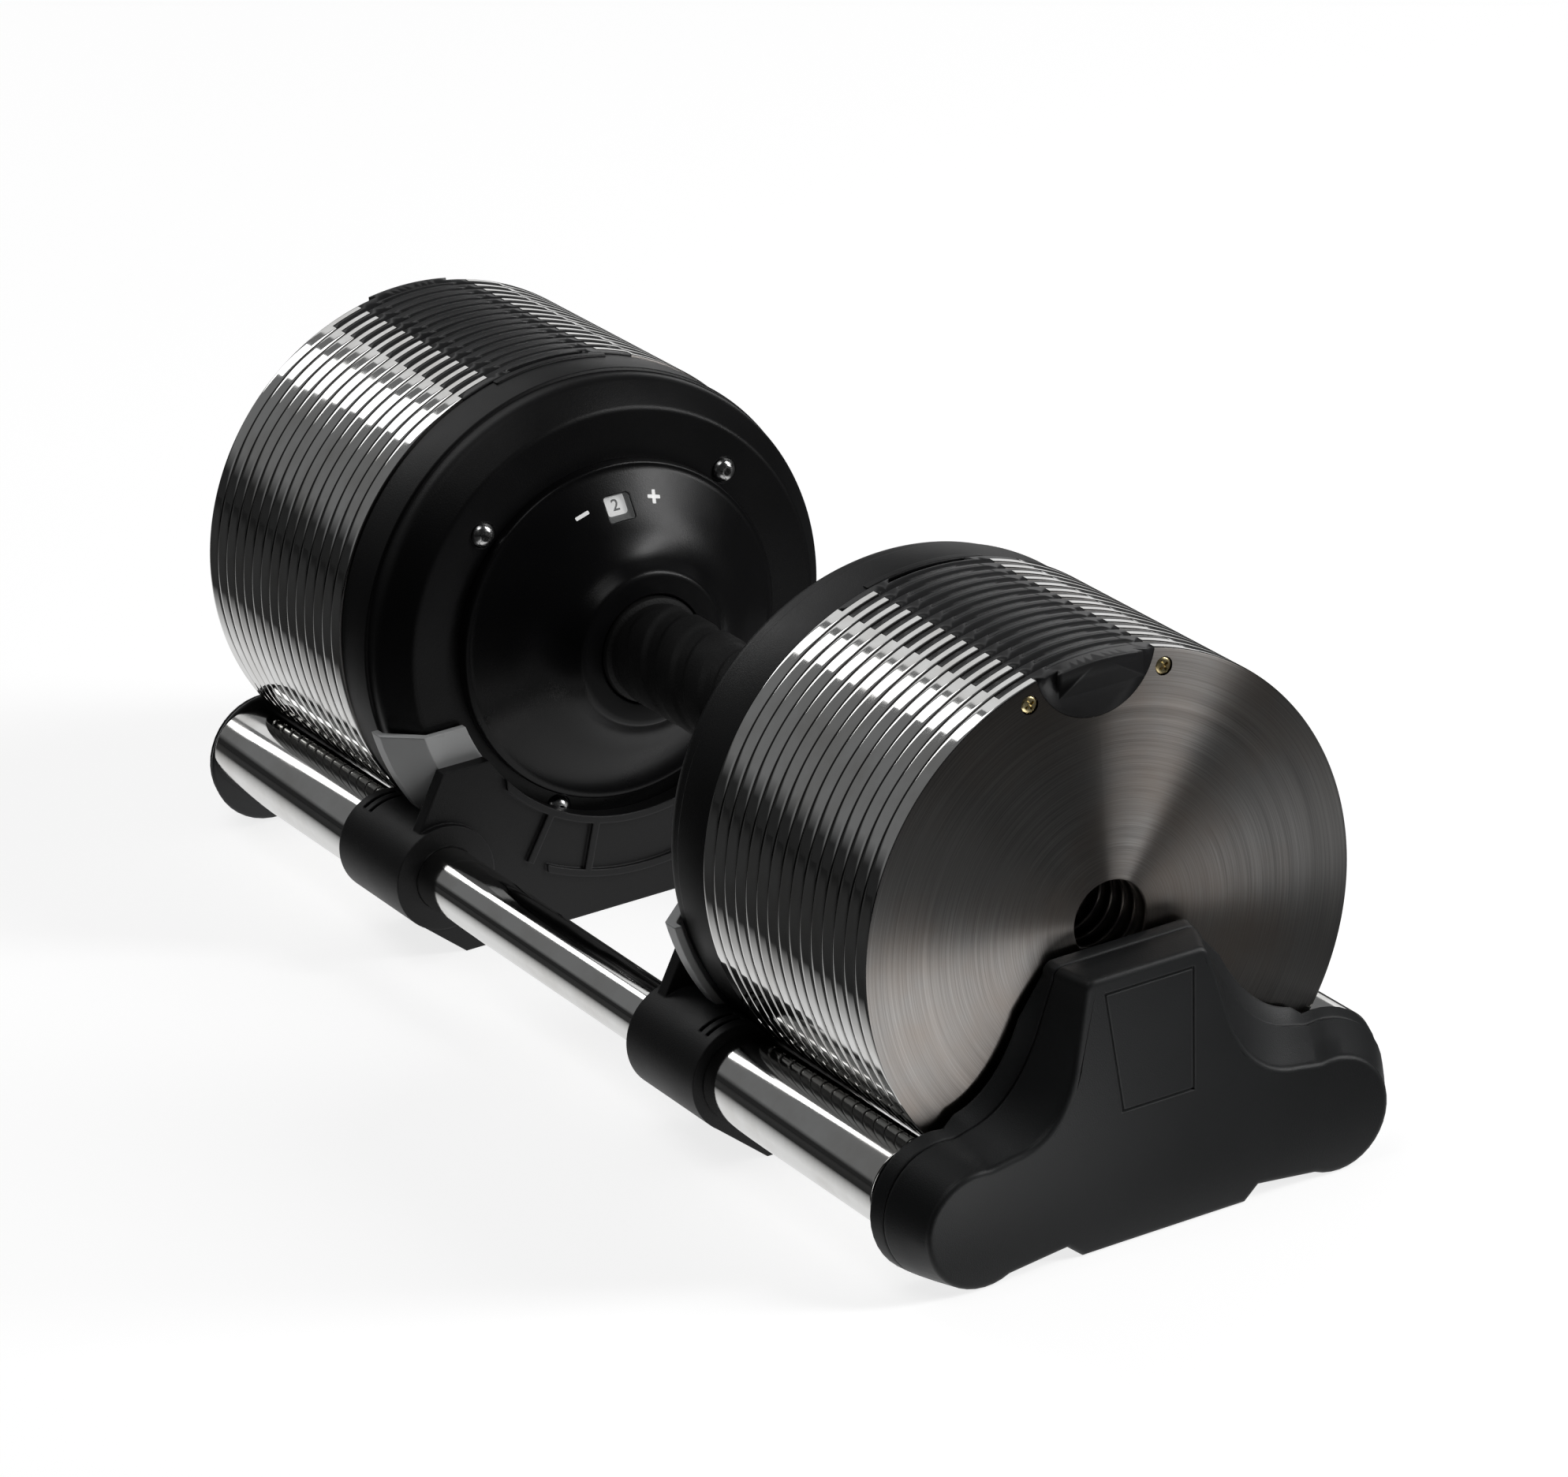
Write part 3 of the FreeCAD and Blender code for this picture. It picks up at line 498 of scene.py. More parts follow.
def leaned_back(mesh, side, fold_z, from_x, lean):
    """Tip the face above a level fold back by a share of its height."""
    shape = bmesh.new()
    shape.from_mesh(mesh)
    bmesh.ops.bisect_plane(
        shape, geom=shape.verts[:] + shape.edges[:] + shape.faces[:], dist=1e-6,
        plane_co=(0, 0, fold_z), plane_no=(0, 0, 1))
    for vert in shape.verts:
        if side * vert.co.x > from_x and vert.co.z > fold_z:
            vert.co.x -= side * lean * (vert.co.z - fold_z)
    bmesh.ops.triangulate(shape, faces=[f for f in shape.faces if len(f.verts) > 4])
    shape.to_mesh(mesh)
    shape.free()
    return mesh


fold_z = axis_z - 0.0505
face_lean = 0.036
panel_top = axis_z - 0.007 - 0.005
panel_foot = panel_top - 0.038
panel_line = 0.0011
panel = [Vector((0.0125, panel_foot)), Vector((0.0155, panel_top)),
         Vector((-0.0155, panel_top)), Vector((-0.0125, panel_foot))]
for side, name in both_sides:
    stations = [
        (body_x, drawn(inner_outline, 0.0011)),
        (body_x + 0.0001, drawn(inner_outline, 0.0006)),
        (body_x + 0.0004, drawn(inner_outline, 0.0002)),
        (body_x + 0.0009, inner_outline),
        (cover_x - 0.0006, parting_outline),
        (cover_x - 0.0003, drawn(parting_outline, 0.0002)),
        (cover_x - 0.0001, drawn(parting_outline, 0.0008)),
        (cover_x - 0.0001, drawn(parting_outline, 0.0014)),
    ]
    fit("end_body_" + name, lofted(stations, side), cradle_black, "cradle",
        ["cradle_end_" + name])
    blend = [p.lerp(q, 0.45) for p, q in zip(parting_outline, outer_outline)]
    stations = [
        (cover_x, drawn(parting_outline, 0.0014)),
        (cover_x, drawn(parting_outline, 0.0009)),
        (cover_x + 0.0003, drawn(parting_outline, 0.0004)),
        (cover_x + 0.0010, drawn(parting_outline, 0.0002)),
        (cover_x + 0.0060, blend),
        (face_x - edge, outer_outline),
    ]
    for k in range(1, 6):
        a = math.pi / 2 * k / 5
        stations.append((
            face_x - edge + edge * math.sin(a), drawn(outer_outline, edge * (1 - math.cos(a)))))
    stations.append((face_x, drawn(outer_outline, edge + 0.0004)))
    cover = cut(lofted(stations, side), [
        groove(panel, panel_line, face_x - 0.0008, face_x + 0.001, side)])
    cover = leaned_back(cover, side, fold_z, cover_x + 0.007, face_lean)
    fit("end_cover_" + name, cover, cradle_black, "cradle",
        ["cradle_cover_" + name], crease=22)

# ---------------------------------------------------------------- weight plates
# Fifteen steel discs a side, each with a notch in the top.  The faces are spun
# to a fine circular grain, and the rims are ground, polished and chromed.
plate_low, plate_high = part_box("plate_01_right")
plate_count = sum(
    name.startswith("plate_") and name.endswith("_right") and name[6:8].isdigit()
    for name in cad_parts)
plate_pitch = (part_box("plate_%02d_right" % plate_count)[0].x - plate_low.x) / (plate_count - 1)
plate_t = plate_high.x - plate_low.x
plate_r = plate_high.y
bore_r = 0.0122
insert_r = 0.0205
insert_z = axis_z + plate_r + 0.002
flange_reach = 0.0115
flange_t = 0.003
brass_low, brass_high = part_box("insert_screws_right")
head_r = 0.0026
brass_y = brass_high.y - head_r
brass_z = (brass_low.z + brass_high.z) / 2


def new_rule(name, takes):
    """An empty geometry tree with named inputs, and its two ends."""
    tree = bpy.data.node_groups.new(name, "GeometryNodeTree")
    tree.interface.new_socket("Geometry", in_out="INPUT", socket_type="NodeSocketGeometry")
    tree.interface.new_socket("Geometry", in_out="OUTPUT", socket_type="NodeSocketGeometry")
    for label, kind in takes.items():
        tree.interface.new_socket(label, in_out="INPUT", socket_type="NodeSocket" + kind)
    start = tree.nodes.new("NodeGroupInput")
    end = tree.nodes.new("NodeGroupOutput")
    return tree, start.outputs, end.inputs


def grown(tree, values, mesh=None):
    """Plain mesh that a geometry tree makes from its named inputs."""
    host = solid(mesh or bpy.data.meshes.new("seed"))
    step = host.modifiers.new("grow", "NODES")
    step.node_group = tree
    for item in tree.interface.items_tree:
        if item.in_out == "INPUT" and item.name in values:
            step[item.identifier] = values[item.name]
    return settled(host)


def copies(tree, takes, points, **turns):
    """Real copies of the piece on points, in its finish."""
    piece = node(tree, "GeometryNodeObjectInfo", {"Object": takes["Piece"]})
    laid = node(tree, "GeometryNodeInstanceOnPoints", {
        "Points": points, "Instance": piece.outputs["Geometry"], **turns})
    real = node(tree, "GeometryNodeRealizeInstances", {0: laid.outputs[0]})
    return node(tree, "GeometryNodeSetMaterial", {
        "Geometry": real.outputs[0], "Material": takes["Finish"]}).outputs[0]


def repeated(tree, mesh, values, seeds=None):
    """Plain mesh of a geometry tree that repeats one piece."""
    part = solid(mesh)
    made = grown(tree, {"Piece": part, **values}, seeds)
    bpy.data.objects.remove(part)
    return made


# a row of equal pieces along the handle
row_rule, takes, gives = new_rule("Row of pieces", {
    "Piece": "Object", "Count": "Int", "Pitch": "Float",
    "Finish": "Material", "Rim finish": "Material"})
step = node(row_rule, "ShaderNodeCombineXYZ", {0: takes["Pitch"]}).outputs[0]
places = node(row_rule, "GeometryNodeMeshLine", {"Count": takes["Count"], "Offset": step})
faces = copies(row_rule, takes, places.outputs[0])
rim = node(row_rule, "GeometryNodeInputNamedAttribute", {"Name": "rim"}, data_type="BOOLEAN")
rims = node(row_rule, "GeometryNodeSetMaterial", {
    "Geometry": faces, "Selection": rim.outputs[0], "Material": takes["Rim finish"]})
row_rule.links.new(rims.outputs[0], gives[0])


def in_a_row(mesh, side, material, rim_material):
    """One copy of a mesh for every plate of a side."""
    return repeated(row_rule, mesh, {
        "Count": plate_count, "Pitch": side * plate_pitch,
        "Finish": material, "Rim finish": rim_material})




def turned_steel(name, constants, lines_per_metre, spots, dark, light, stain, share,
                 smooth, rough, depth):
    """Turned or spun steel: fine lines, slow bands of gloss and faint stains."""
    made, tree, shader = finish(name, {"Metallic": 1.0, **constants})
    lines = use(tree, turned_lines, Axis_height=axis_z, Lines_per_metre=lines_per_metre)
    marks = use(tree, smudges, Spots_per_metre=spots)
    steel = mix(tree, span(tree, lines["Line"], 0.3, 0.7, 0.0, 1.0), dark, light)
    wire(tree, shader,
         Base_Color=mix(tree, calc(tree, "MULTIPLY", marks["Mask"], share), steel, stain),
         Roughness=span(tree, lines["Band"], 0.3, 0.7, smooth, rough),
         Normal=relief(tree, lines["Line"], depth))
    return made, tree, shader


spun_face, tree, shader = turned_steel(
    "spun steel face", {"Anisotropic": 1.0, "Anisotropic Rotation": 0.25}, 2800.0, 22.0,
    (0.26, 0.255, 0.25, 1), (0.42, 0.41, 0.40, 1), (0.33, 0.26, 0.21, 1), 0.45,
    0.30, 0.36, 0.10)
wire(tree, shader, Tangent=node(
    tree, "ShaderNodeTangent", direction_type="UV_MAP", uv_map="round").outputs[0])

rim_chrome, tree, shader = finish("chromed plate rim", {"Metallic": 1.0})
marks = use(tree, smudges, Spots_per_metre=60.0)
# every rim is ground with its own slight taper, so lamps show on some only
from_middle = calc(tree, "ABSOLUTE", split(tree, own_place(tree))[0])
number = calc(tree, "FLOOR", calc(
    tree, "DIVIDE", calc(tree, "SUBTRACT", from_middle, plate_low.x - 0.00015), plate_pitch))
chance = node(tree, "ShaderNodeTexWhiteNoise", {"W": number}, noise_dimensions="1D").outputs[0]
taper = calc(tree, "MULTIPLY", calc(tree, "SUBTRACT", chance, 0.5), 0.014)
tip = node(tree, "ShaderNodeCombineXYZ", {0: taper}).outputs[0]
normal = node(tree, "ShaderNodeNewGeometry").outputs["Normal"]
leaned = node(tree, "ShaderNodeVectorMath", {0: normal, 1: tip}, operation="ADD").outputs[0]
leaned = node(tree, "ShaderNodeVectorMath", {0: leaned}, operation="NORMALIZE").outputs[0]
lines = use(tree, turned_lines, Axis_height=axis_z, Lines_per_metre=2200.0)
wire(tree, shader,
     Base_Color=mix(tree, marks["Mask"], (0.78, 0.78, 0.77, 1), (0.66, 0.65, 0.63, 1)),
     Roughness=span(tree, marks["Mask"], 0.0, 1.0, 0.04, 0.10),
     Normal=relief(tree, lines["Line"], 0.012, Normal=leaned))


def drum(radius, x0, x1, y, z, side, steps=96):
    """Plain round cutter along X."""
    return turned([Vector((x0, 0)), Vector((x1, 0)), Vector((x1, radius)),
                   Vector((x0, radius))], (y, z), steps, side)


for side, name in both_sides:
    x0, x1 = plate_low.x, plate_high.x
    middle_rings = [(r / 1000, 0) for r in (24, 38, 52, 66, 76)]
    outline = rounded([
        (x0, bore_r, 0.0008), (x1, bore_r, 0.0008),
        *((x1, r, ease) for r, ease in middle_rings), (x1, plate_r - 0.0014, 0),
        (x1, plate_r, 0.0011), (x1 - 0.0014, plate_r, 0), (x0 + 0.0014, plate_r, 0),
        (x0, plate_r, 0.0011), (x0, plate_r - 0.0014, 0),
        *((x0, r, ease) for r, ease in middle_rings[::-1])], 3)
    disc = turned(outline, (0.0, axis_z), 256, side)
    seats = [drum(head_r + 0.0003, x1 - 0.0016, x1 + 0.001, y, brass_z, side, 40)
             for y in (-brass_y, brass_y)]
    disc = cut(disc, seats + [
        drum(insert_r, x0 - 0.001, x1 + 0.001, 0.0, insert_z, side),
        drum(insert_r + flange_reach, x0 - 0.002, x0 + flange_t, 0.0, insert_z, side)])
    mark = disc.attributes.new("rim", "BOOLEAN", "FACE")
    for polygon in disc.polygons:
        out = math.hypot(polygon.center.y, polygon.center.z - axis_z)
        mark.data[polygon.index].value = out > plate_r - 0.0012 and abs(polygon.normal.x) < 0.9
    row = in_a_row(disc, side, spun_face, rim_chrome)
    fit("steel_plates_" + name, row, None, "plate_stack_" + name,
        ["plate_%02d_%s" % (k + 1, name) for k in range(plate_count)])

# ---------------------------------------------------------------- plate inserts
# A black plastic block sits in the notch of every plate.  Its tongue slides in
# the slot of the next one, so the plates hold together as a stack.
insert_black = plastic(
    "plate insert black", (0.018, 0.018, 0.019, 1), (0.16, 0.16, 0.16, 1), 0.36, 0.0009, 0.2)
for side, name in both_sides:
    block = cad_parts["plate_inserts_" + name]
    blocks = block.data.copy()
    blocks.transform(block.matrix_world)
    # every block is chamfered where it meets the next one
    seams = []
    for k in range(plate_count - 1):
        x = plate_low.x + (k + 1) * plate_pitch - (plate_pitch - plate_t) / 2
        seams.append(turned([
            Vector((x - 0.0004, plate_r - 0.0012)), Vector((x + 0.0004, plate_r - 0.0012)),
            Vector((x + 0.0011, plate_r + 0.001)), Vector((x - 0.0011, plate_r + 0.001))],
            (0.0, axis_z), 160, side))
    fit("insert_blocks_" + name, cut(blocks, seams), insert_black, "plate_stack_" + name,
        ["plate_inserts_" + name])

# ---------------------------------------------------------------- insert screws
# Two small brass-plated cross-head screws hold every insert in its plate.
def screw_metal(name, bright, dull, spots, smooth, rough):
    """Plated screw: bright metal with small dull stains."""
    made, tree, shader = finish(name, {"Metallic": 1.0})
    marks = use(tree, smudges, Spots_per_metre=spots)
    wire(tree, shader, Base_Color=mix(tree, marks["Mask"], bright, dull),
         Roughness=span(tree, marks["Mask"], 0, 1, smooth, rough))
    return made


def bar(x0, x1, y0, y1, z0, z1):
    """Plain box cutter between two corners."""
    shape = bmesh.new()
    bmesh.ops.create_cube(shape, size=1.0)
    for vert in shape.verts:
        vert.co = (
            x0 if vert.co.x < 0 else x1, y0 if vert.co.y < 0 else y1,
            z0 if vert.co.z < 0 else z1)
    return meshed(shape, "bar")


brass = screw_metal(
    "brass plated screw", (0.86, 0.74, 0.42, 1), (0.52, 0.40, 0.20, 1), 400.0, 0.22, 0.42)
for side, name in both_sides:
    x1 = plate_high.x
    head = turned(rounded([
        (x1 - 0.0013, 0, 0), (x1 - 0.00005, 0, 0), (x1 - 0.00005, 0.0018, 0.0005),
        (x1 - 0.0004, head_r, 0.0003), (x1 - 0.0013, head_r, 0)], 2), (0.0, 0.0), 20, side)
    cross = [bar(side * (x1 - 0.0007), side * (x1 + 0.001), -w, w, -h, h)
             for w, h in ((0.0004, 0.0016), (0.0016, 0.0004))]
    for tool in cross:
        tool.transform(Matrix.Rotation(math.radians(28), 4, "X"))
    head = cut(head, cross)
    pair = []
    for y in (-brass_y, brass_y):
        one = head.copy()
        one.transform(Matrix.Translation((0, y, brass_z)))
        pair.append(one)
    row = in_a_row(joined(pair), side, brass, brass)
    fit("brass_screws_" + name, row, None, "plate_stack_" + name,
        ["insert_screws_" + name])

# ---------------------------------------------------------------- core and rods
# A plain steel tube ties the two housings together.  Inside it a ground steel
# rod slides out at each end, through the bores of the plates it picks up.
ground_steel = turned_steel(
    "ground steel", {"Anisotropic": 0.5}, 1500.0, 60.0,
    (0.42, 0.42, 0.42, 1), (0.58, 0.58, 0.57, 1), (0.36, 0.34, 0.32, 1), 0.3,
    0.20, 0.32, 0.12)[0]
for name in ("core_tube", "lock_pin_right", "lock_pin_left"):
    dress(name, ground_steel)
rod_low, rod_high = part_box("selector_rod_right")
rod_r = rod_high.y
pin_r = 0.002
pin_top = rod_high.z - axis_z
pin_x = rod_low.x + 0.0026


def stood_up(x):
    """Turn a piece made along X to point down from the axis at a place."""
    return Matrix.Translation((x, 0, axis_z)) @ Matrix.Rotation(math.pi / 2, 4, "Y")


for side, name in both_sides:
    rod = turned(rounded([
        (rod_low.x, 0, 0), (rod_low.x, rod_r, 0.0005), (rod_high.x - 0.0015, rod_r, 0.0002),
        (rod_high.x, rod_r - 0.0015, 0.0004), (rod_high.x, 0.003, 0.0003),
        (rod_high.x - 0.0015, 0.0, 0)]), (0.0, axis_z), 96, side)
    pin = turned(rounded([
        (-pin_top, pin_r, 0.0003), (-rod_r + 0.002, pin_r, 0), (-rod_r + 0.002, 0, 0),
        (-pin_top, 0, 0)]), (0.0, 0.0), 32)
    pin.transform(stood_up(side * pin_x))
    fit("sliding_rod_" + name, joined([rod, pin]), ground_steel, "selector_rod_" + name,
        ["selector_rod_" + name])

# ---------------------------------------------------------------- grip
# The grip is a sleeve of soft black rubber with low ridges that wind along it.
# It ends in a smooth collar in the mouth of each display cap.
grip_r = 0.0157
grip_black, tree, shader = finish("soft grip black", {"IOR": 1.48, "Specular IOR Level": 0.3})
mould = use(tree, moulded_grain, Grain_per_metre=1700.0, Clouds_per_metre=40.0)
marks = use(tree, smudges, Spots_per_metre=70.0)
wire(tree, shader,
     Base_Color=mix(tree, marks["Mask"], (0.007, 0.007, 0.007, 1), (0.012, 0.012, 0.012, 1)),
     Roughness=span(tree, mould["Tone"], 0.3, 0.7, 0.56, 0.68),
     Normal=relief(tree, mould["Height"], 0.5, 0.0002))

ridge_rule, takes, gives = new_rule("Winding ridges", {
    "Axis height": "Float", "Lead": "Float", "Starts": "Float", "Ridge height": "Float",
    "Reach": "Float", "Finish": "Material"})
place = node(ridge_rule, "GeometryNodeInputPosition").outputs[0]
apart = split(ridge_rule, place)
above = calc(ridge_rule, "SUBTRACT", apart[2], takes["Axis height"])
share = calc(ridge_rule, "DIVIDE", calc(ridge_rule, "ARCTAN2", apart[1], above), math.tau)
phase = calc(ridge_rule, "MULTIPLY", calc(
    ridge_rule, "ADD", calc(ridge_rule, "DIVIDE", apart[0], takes["Lead"]), share),
    takes["Starts"])
wave = calc(ridge_rule, "COSINE", calc(ridge_rule, "MULTIPLY", phase, math.tau))
crest = node(ridge_rule, "ShaderNodeMapRange", {
    "Value": wave, "From Min": -0.75, "From Max": 0.1}, interpolation_type="SMOOTHSTEP")
ends = node(ridge_rule, "ShaderNodeMapRange", {
    "Value": calc(ridge_rule, "SUBTRACT", takes["Reach"], calc(
        ridge_rule, "ABSOLUTE", apart[0])), "From Min": 0.0, "From Max": 0.004},
    interpolation_type="SMOOTHSTEP")
tall = calc(ridge_rule, "MULTIPLY", calc(
    ridge_rule, "MULTIPLY", crest.outputs[0], ends.outputs[0]), takes["Ridge height"])
out = node(ridge_rule, "ShaderNodeCombineXYZ", {1: apart[1], 2: above}).outputs[0]
radius = node(ridge_rule, "ShaderNodeVectorMath", {0: out}, operation="LENGTH").outputs["Value"]
out = node(ridge_rule, "ShaderNodeVectorMath", {0: out}, operation="NORMALIZE").outputs[0]
push = node(ridge_rule, "ShaderNodeVectorMath", {0: out, "Scale": tall}, operation="SCALE")
outside = calc(ridge_rule, "GREATER_THAN", radius, grip_r - 0.0005)
moved = node(ridge_rule, "GeometryNodeSetPosition", {
    "Geometry": takes["Geometry"], "Selection": outside, "Offset": push.outputs[0]})
dressed = node(ridge_rule, "GeometryNodeSetMaterial", {
    "Geometry": moved.outputs[0], "Material": takes["Finish"]})
ridge_rule.links.new(dressed.outputs[0], gives[0])

grip_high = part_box("grip_sleeve")[1]
collar_x = 0.0585
ridge_reach = 0.056
sleeve = [Vector((-grip_high.x, grip_r - 0.0018)), Vector((grip_high.x, grip_r - 0.0018))]
right_half = [(grip_high.x, grip_r), (0.0648, grip_r), (0.0648, 0.0172), (0.0642, 0.0176),
              (0.0600, 0.0176), (collar_x + 0.0004, 0.0173), (collar_x, 0.0168),
              (collar_x - 0.0003, grip_r)]
sleeve += [Vector(p) for p in right_half]
cells = 190
sleeve += [Vector((ridge_reach * (1 - 2 * k / cells), grip_r)) for k in range(cells + 1)]
sleeve += [Vector((-x, r)) for x, r in right_half[::-1]]
sleeve = turned(sleeve, (0.0, axis_z), 112)
sleeve = grown(ridge_rule, {
    "Axis height": axis_z, "Lead": 0.054, "Starts": 3.0, "Ridge height": 0.0010,
    "Reach": ridge_reach, "Finish": grip_black}, sleeve)
fit("ridged_grip", sleeve, None, "grip", ["grip_sleeve"])

# ---------------------------------------------------------------- number wheels
# A black ring behind each display cap turns with the grip.  It carries sixteen
# white labels with the weights in kilograms, two apart, and one shows at a time.
wheel_black = plastic(
    "number wheel black", (0.018, 0.018, 0.019, 1), (0.05, 0.05, 0.05, 1), 0.45, 0.0004, 0.2)


def printing(name, light, dark, clouds, smooth, rough, constants):
    """Printed surface: slow change of tone and gloss."""
    made, tree, shader = finish(name, {"IOR": 1.45, **constants})
    mould = use(tree, moulded_grain, Grain_per_metre=3000.0, Clouds_per_metre=clouds)
    wire(tree, shader, Base_Color=mix(tree, mould["Tone"], light, dark),
         Roughness=span(tree, mould["Tone"], 0.3, 0.7, smooth, rough))
    return made


# the labels carry a faint constant glow, which is painted light so they read bright white under
# the lens
glowing_label_white = printing(
    "glowing white label", (0.86, 0.86, 0.85, 1), (0.78, 0.78, 0.77, 1), 120.0, 0.35, 0.5,
    {"Emission Color": (1, 1, 1, 1), "Emission Strength": 0.35})
ink = printing(
    "printed figures", (0.02, 0.02, 0.022, 1), (0.05, 0.05, 0.05, 1), 200.0, 0.3, 0.45, {})

ring_rule, takes, gives = new_rule("Ring of pieces", {
    "Piece": "Object", "Count": "Int", "Step angle": "Float", "Axis height": "Float",
    "Finish": "Material"})
middle = node(ring_rule, "ShaderNodeCombineXYZ", {2: takes["Axis height"]}).outputs[0]
places = node(ring_rule, "GeometryNodePoints", {"Count": takes["Count"], "Position": middle})
angle = calc(ring_rule, "MULTIPLY", node(
    ring_rule, "GeometryNodeInputIndex").outputs[0], takes["Step angle"])
turn = node(ring_rule, "ShaderNodeCombineXYZ", {0: angle}).outputs[0]
ring_rule.links.new(copies(ring_rule, takes, places.outputs[0], Rotation=turn), gives[0])

wheel_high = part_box("number_wheel_right")[1]
cone_x, cone_r = 0.072, 0.0403
cap_r = 0.0564
cap_edge_x = 0.0823
cap_ease = 0.0019
slope = (cap_edge_x - cap_ease - cone_x) / (cap_r - cap_ease - cone_r)
tilt = math.atan(slope)
window_r = 0.044
sign_r = 0.0460
wheel_r = 0.0516
hub_r = 0.0158
wheel_face = cone_x + 0.0032
label_x = wheel_face + slope * (window_r - cone_r)
figures = 16


def plaque(width, height, thick, ease=0.0):
    """Thin plate lying in X-Y, rounded at its corners, bottom at Z = 0."""
    shape = bmesh.new()
    low, high = [], []
    for sy, sx in ((-1, -1), (-1, 1), (1, 1), (1, -1)):
        for k in range(5):
            a = math.pi / 2 * k / 4
            away = Vector((-math.cos(a) if sx == sy else -math.sin(a),
                           -math.sin(a) if sx == sy else -math.cos(a)))
            x = sx * (width / 2 - ease - ease * away.x)
            y = sy * (height / 2 - ease - ease * away.y)
            low.append(shape.verts.new((x, y, 0)))
            high.append(shape.verts.new((x, y, thick)))
            if ease == 0:
                break
    shape.faces.new(low[::-1])
    shape.faces.new(high)
    skin(shape, low, high)
    return meshed(shape, "plaque")


def on_cone(side, x, r, angle=0.0, lift=0.0):
    """Stand a flat mark on the cone about the handle axis, face to the grip."""
    up = Vector((side * math.sin(tilt), 0, math.cos(tilt)))
    out = Vector((-side * math.cos(tilt), 0, math.sin(tilt)))
    right = up.cross(out)
    lay = Matrix((right, up, out)).transposed().to_4x4()
    place = Matrix.Translation(Vector((side * x, 0, r)) + out * lift)
    return Matrix.Rotation(angle, 4, "X") @ place @ lay


def figure(text, size):
    """Flat mesh of printed figures, centred."""
    curve = bpy.data.curves.new("figures", "FONT")
    curve.body = text
    curve.size = size
    curve.align_x = "CENTER"
    curve.align_y = "CENTER"
    curve.extrude = 0.00004
    curve.offset = size * 0.012
    curve.resolution_u = 4
    mesh = settled(solid(curve))
    high = max(v.co.y for v in mesh.vertices)
    low = min(v.co.y for v in mesh.vertices)
    mesh.transform(Matrix.Translation((0, -(high + low) / 2, 0)))
    return mesh


for side, name in both_sides:
    ring_out = wheel_face + slope * (wheel_r - cone_r)
    wheel = turned(rounded([
        (wheel_face, hub_r, 0.0002), (wheel_face, cone_r, 0.001),
        (ring_out, wheel_r, 0.0003), (ring_out + 0.0016, wheel_r, 0.0003),
        (wheel_face + 0.0016, cone_r + 0.0002, 0.001), (wheel_face + 0.0016, 0.020, 0.0004),
        (wheel_high.x, 0.020, 0.0004), (wheel_high.x, hub_r, 0.0002)]), (0.0, axis_z), 128, side)
    fit("number_wheel_" + name, wheel, wheel_black, "grip",
        ["number_wheel_" + name])
    tile = plaque(0.0072, 0.0070, 0.00012, 0.0012)
    tile.transform(on_cone(side, label_x, window_r, 0.0, 0.00002))
    labels = repeated(ring_rule, tile, {
        "Count": figures, "Step angle": -math.tau / figures,
        "Axis height": axis_z, "Finish": glowing_label_white})
    fit("weight_labels_" + name, labels, None, "grip")
    printed = []
    for k in range(figures):
        text = figure(str(2 + 2 * k), 0.0054)
        text.transform(on_cone(side, label_x, window_r, -math.tau * k / figures, 0.00016))
        text.transform(Matrix.Translation((0, 0, axis_z)))
        printed.append(text)
    fit("weight_figures_" + name, joined(printed), ink, "grip")

# ---------------------------------------------------------------- housings
# A round black shell closes each end of the handle, with a stepped rim next to
# the plates and a bevel down to a flat ring, where four screws hold it.
housing_black = plastic(
    "housing black", (0.006, 0.006, 0.0065, 1), (0.03, 0.03, 0.032, 1), 0.42, 0.0005, 0.3,
    shine=0.28)
housing_low, housing_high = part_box("housing_right")
housing_r = 0.0818
step_x = 0.100
shoulder_x = 0.094
flat_x = housing_low.x
bevel_r = 0.0727
ring_r = 0.0504
inside_r = 0.0773
screw_r = 0.0613
screw_angles = (45.7, 155.0, 205.0, 314.3)
marks_at = [(screw_r * math.sin(math.radians(a)), screw_r * math.cos(math.radians(a)))
            for a in screw_angles]
lock_x = (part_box("lock_pin_right")[0].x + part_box("lock_pin_right")[1].x) / 2
lock_hole_r = 0.0026
key_reach = math.radians(14.0)
key_radii = (0.0823, 0.0790)
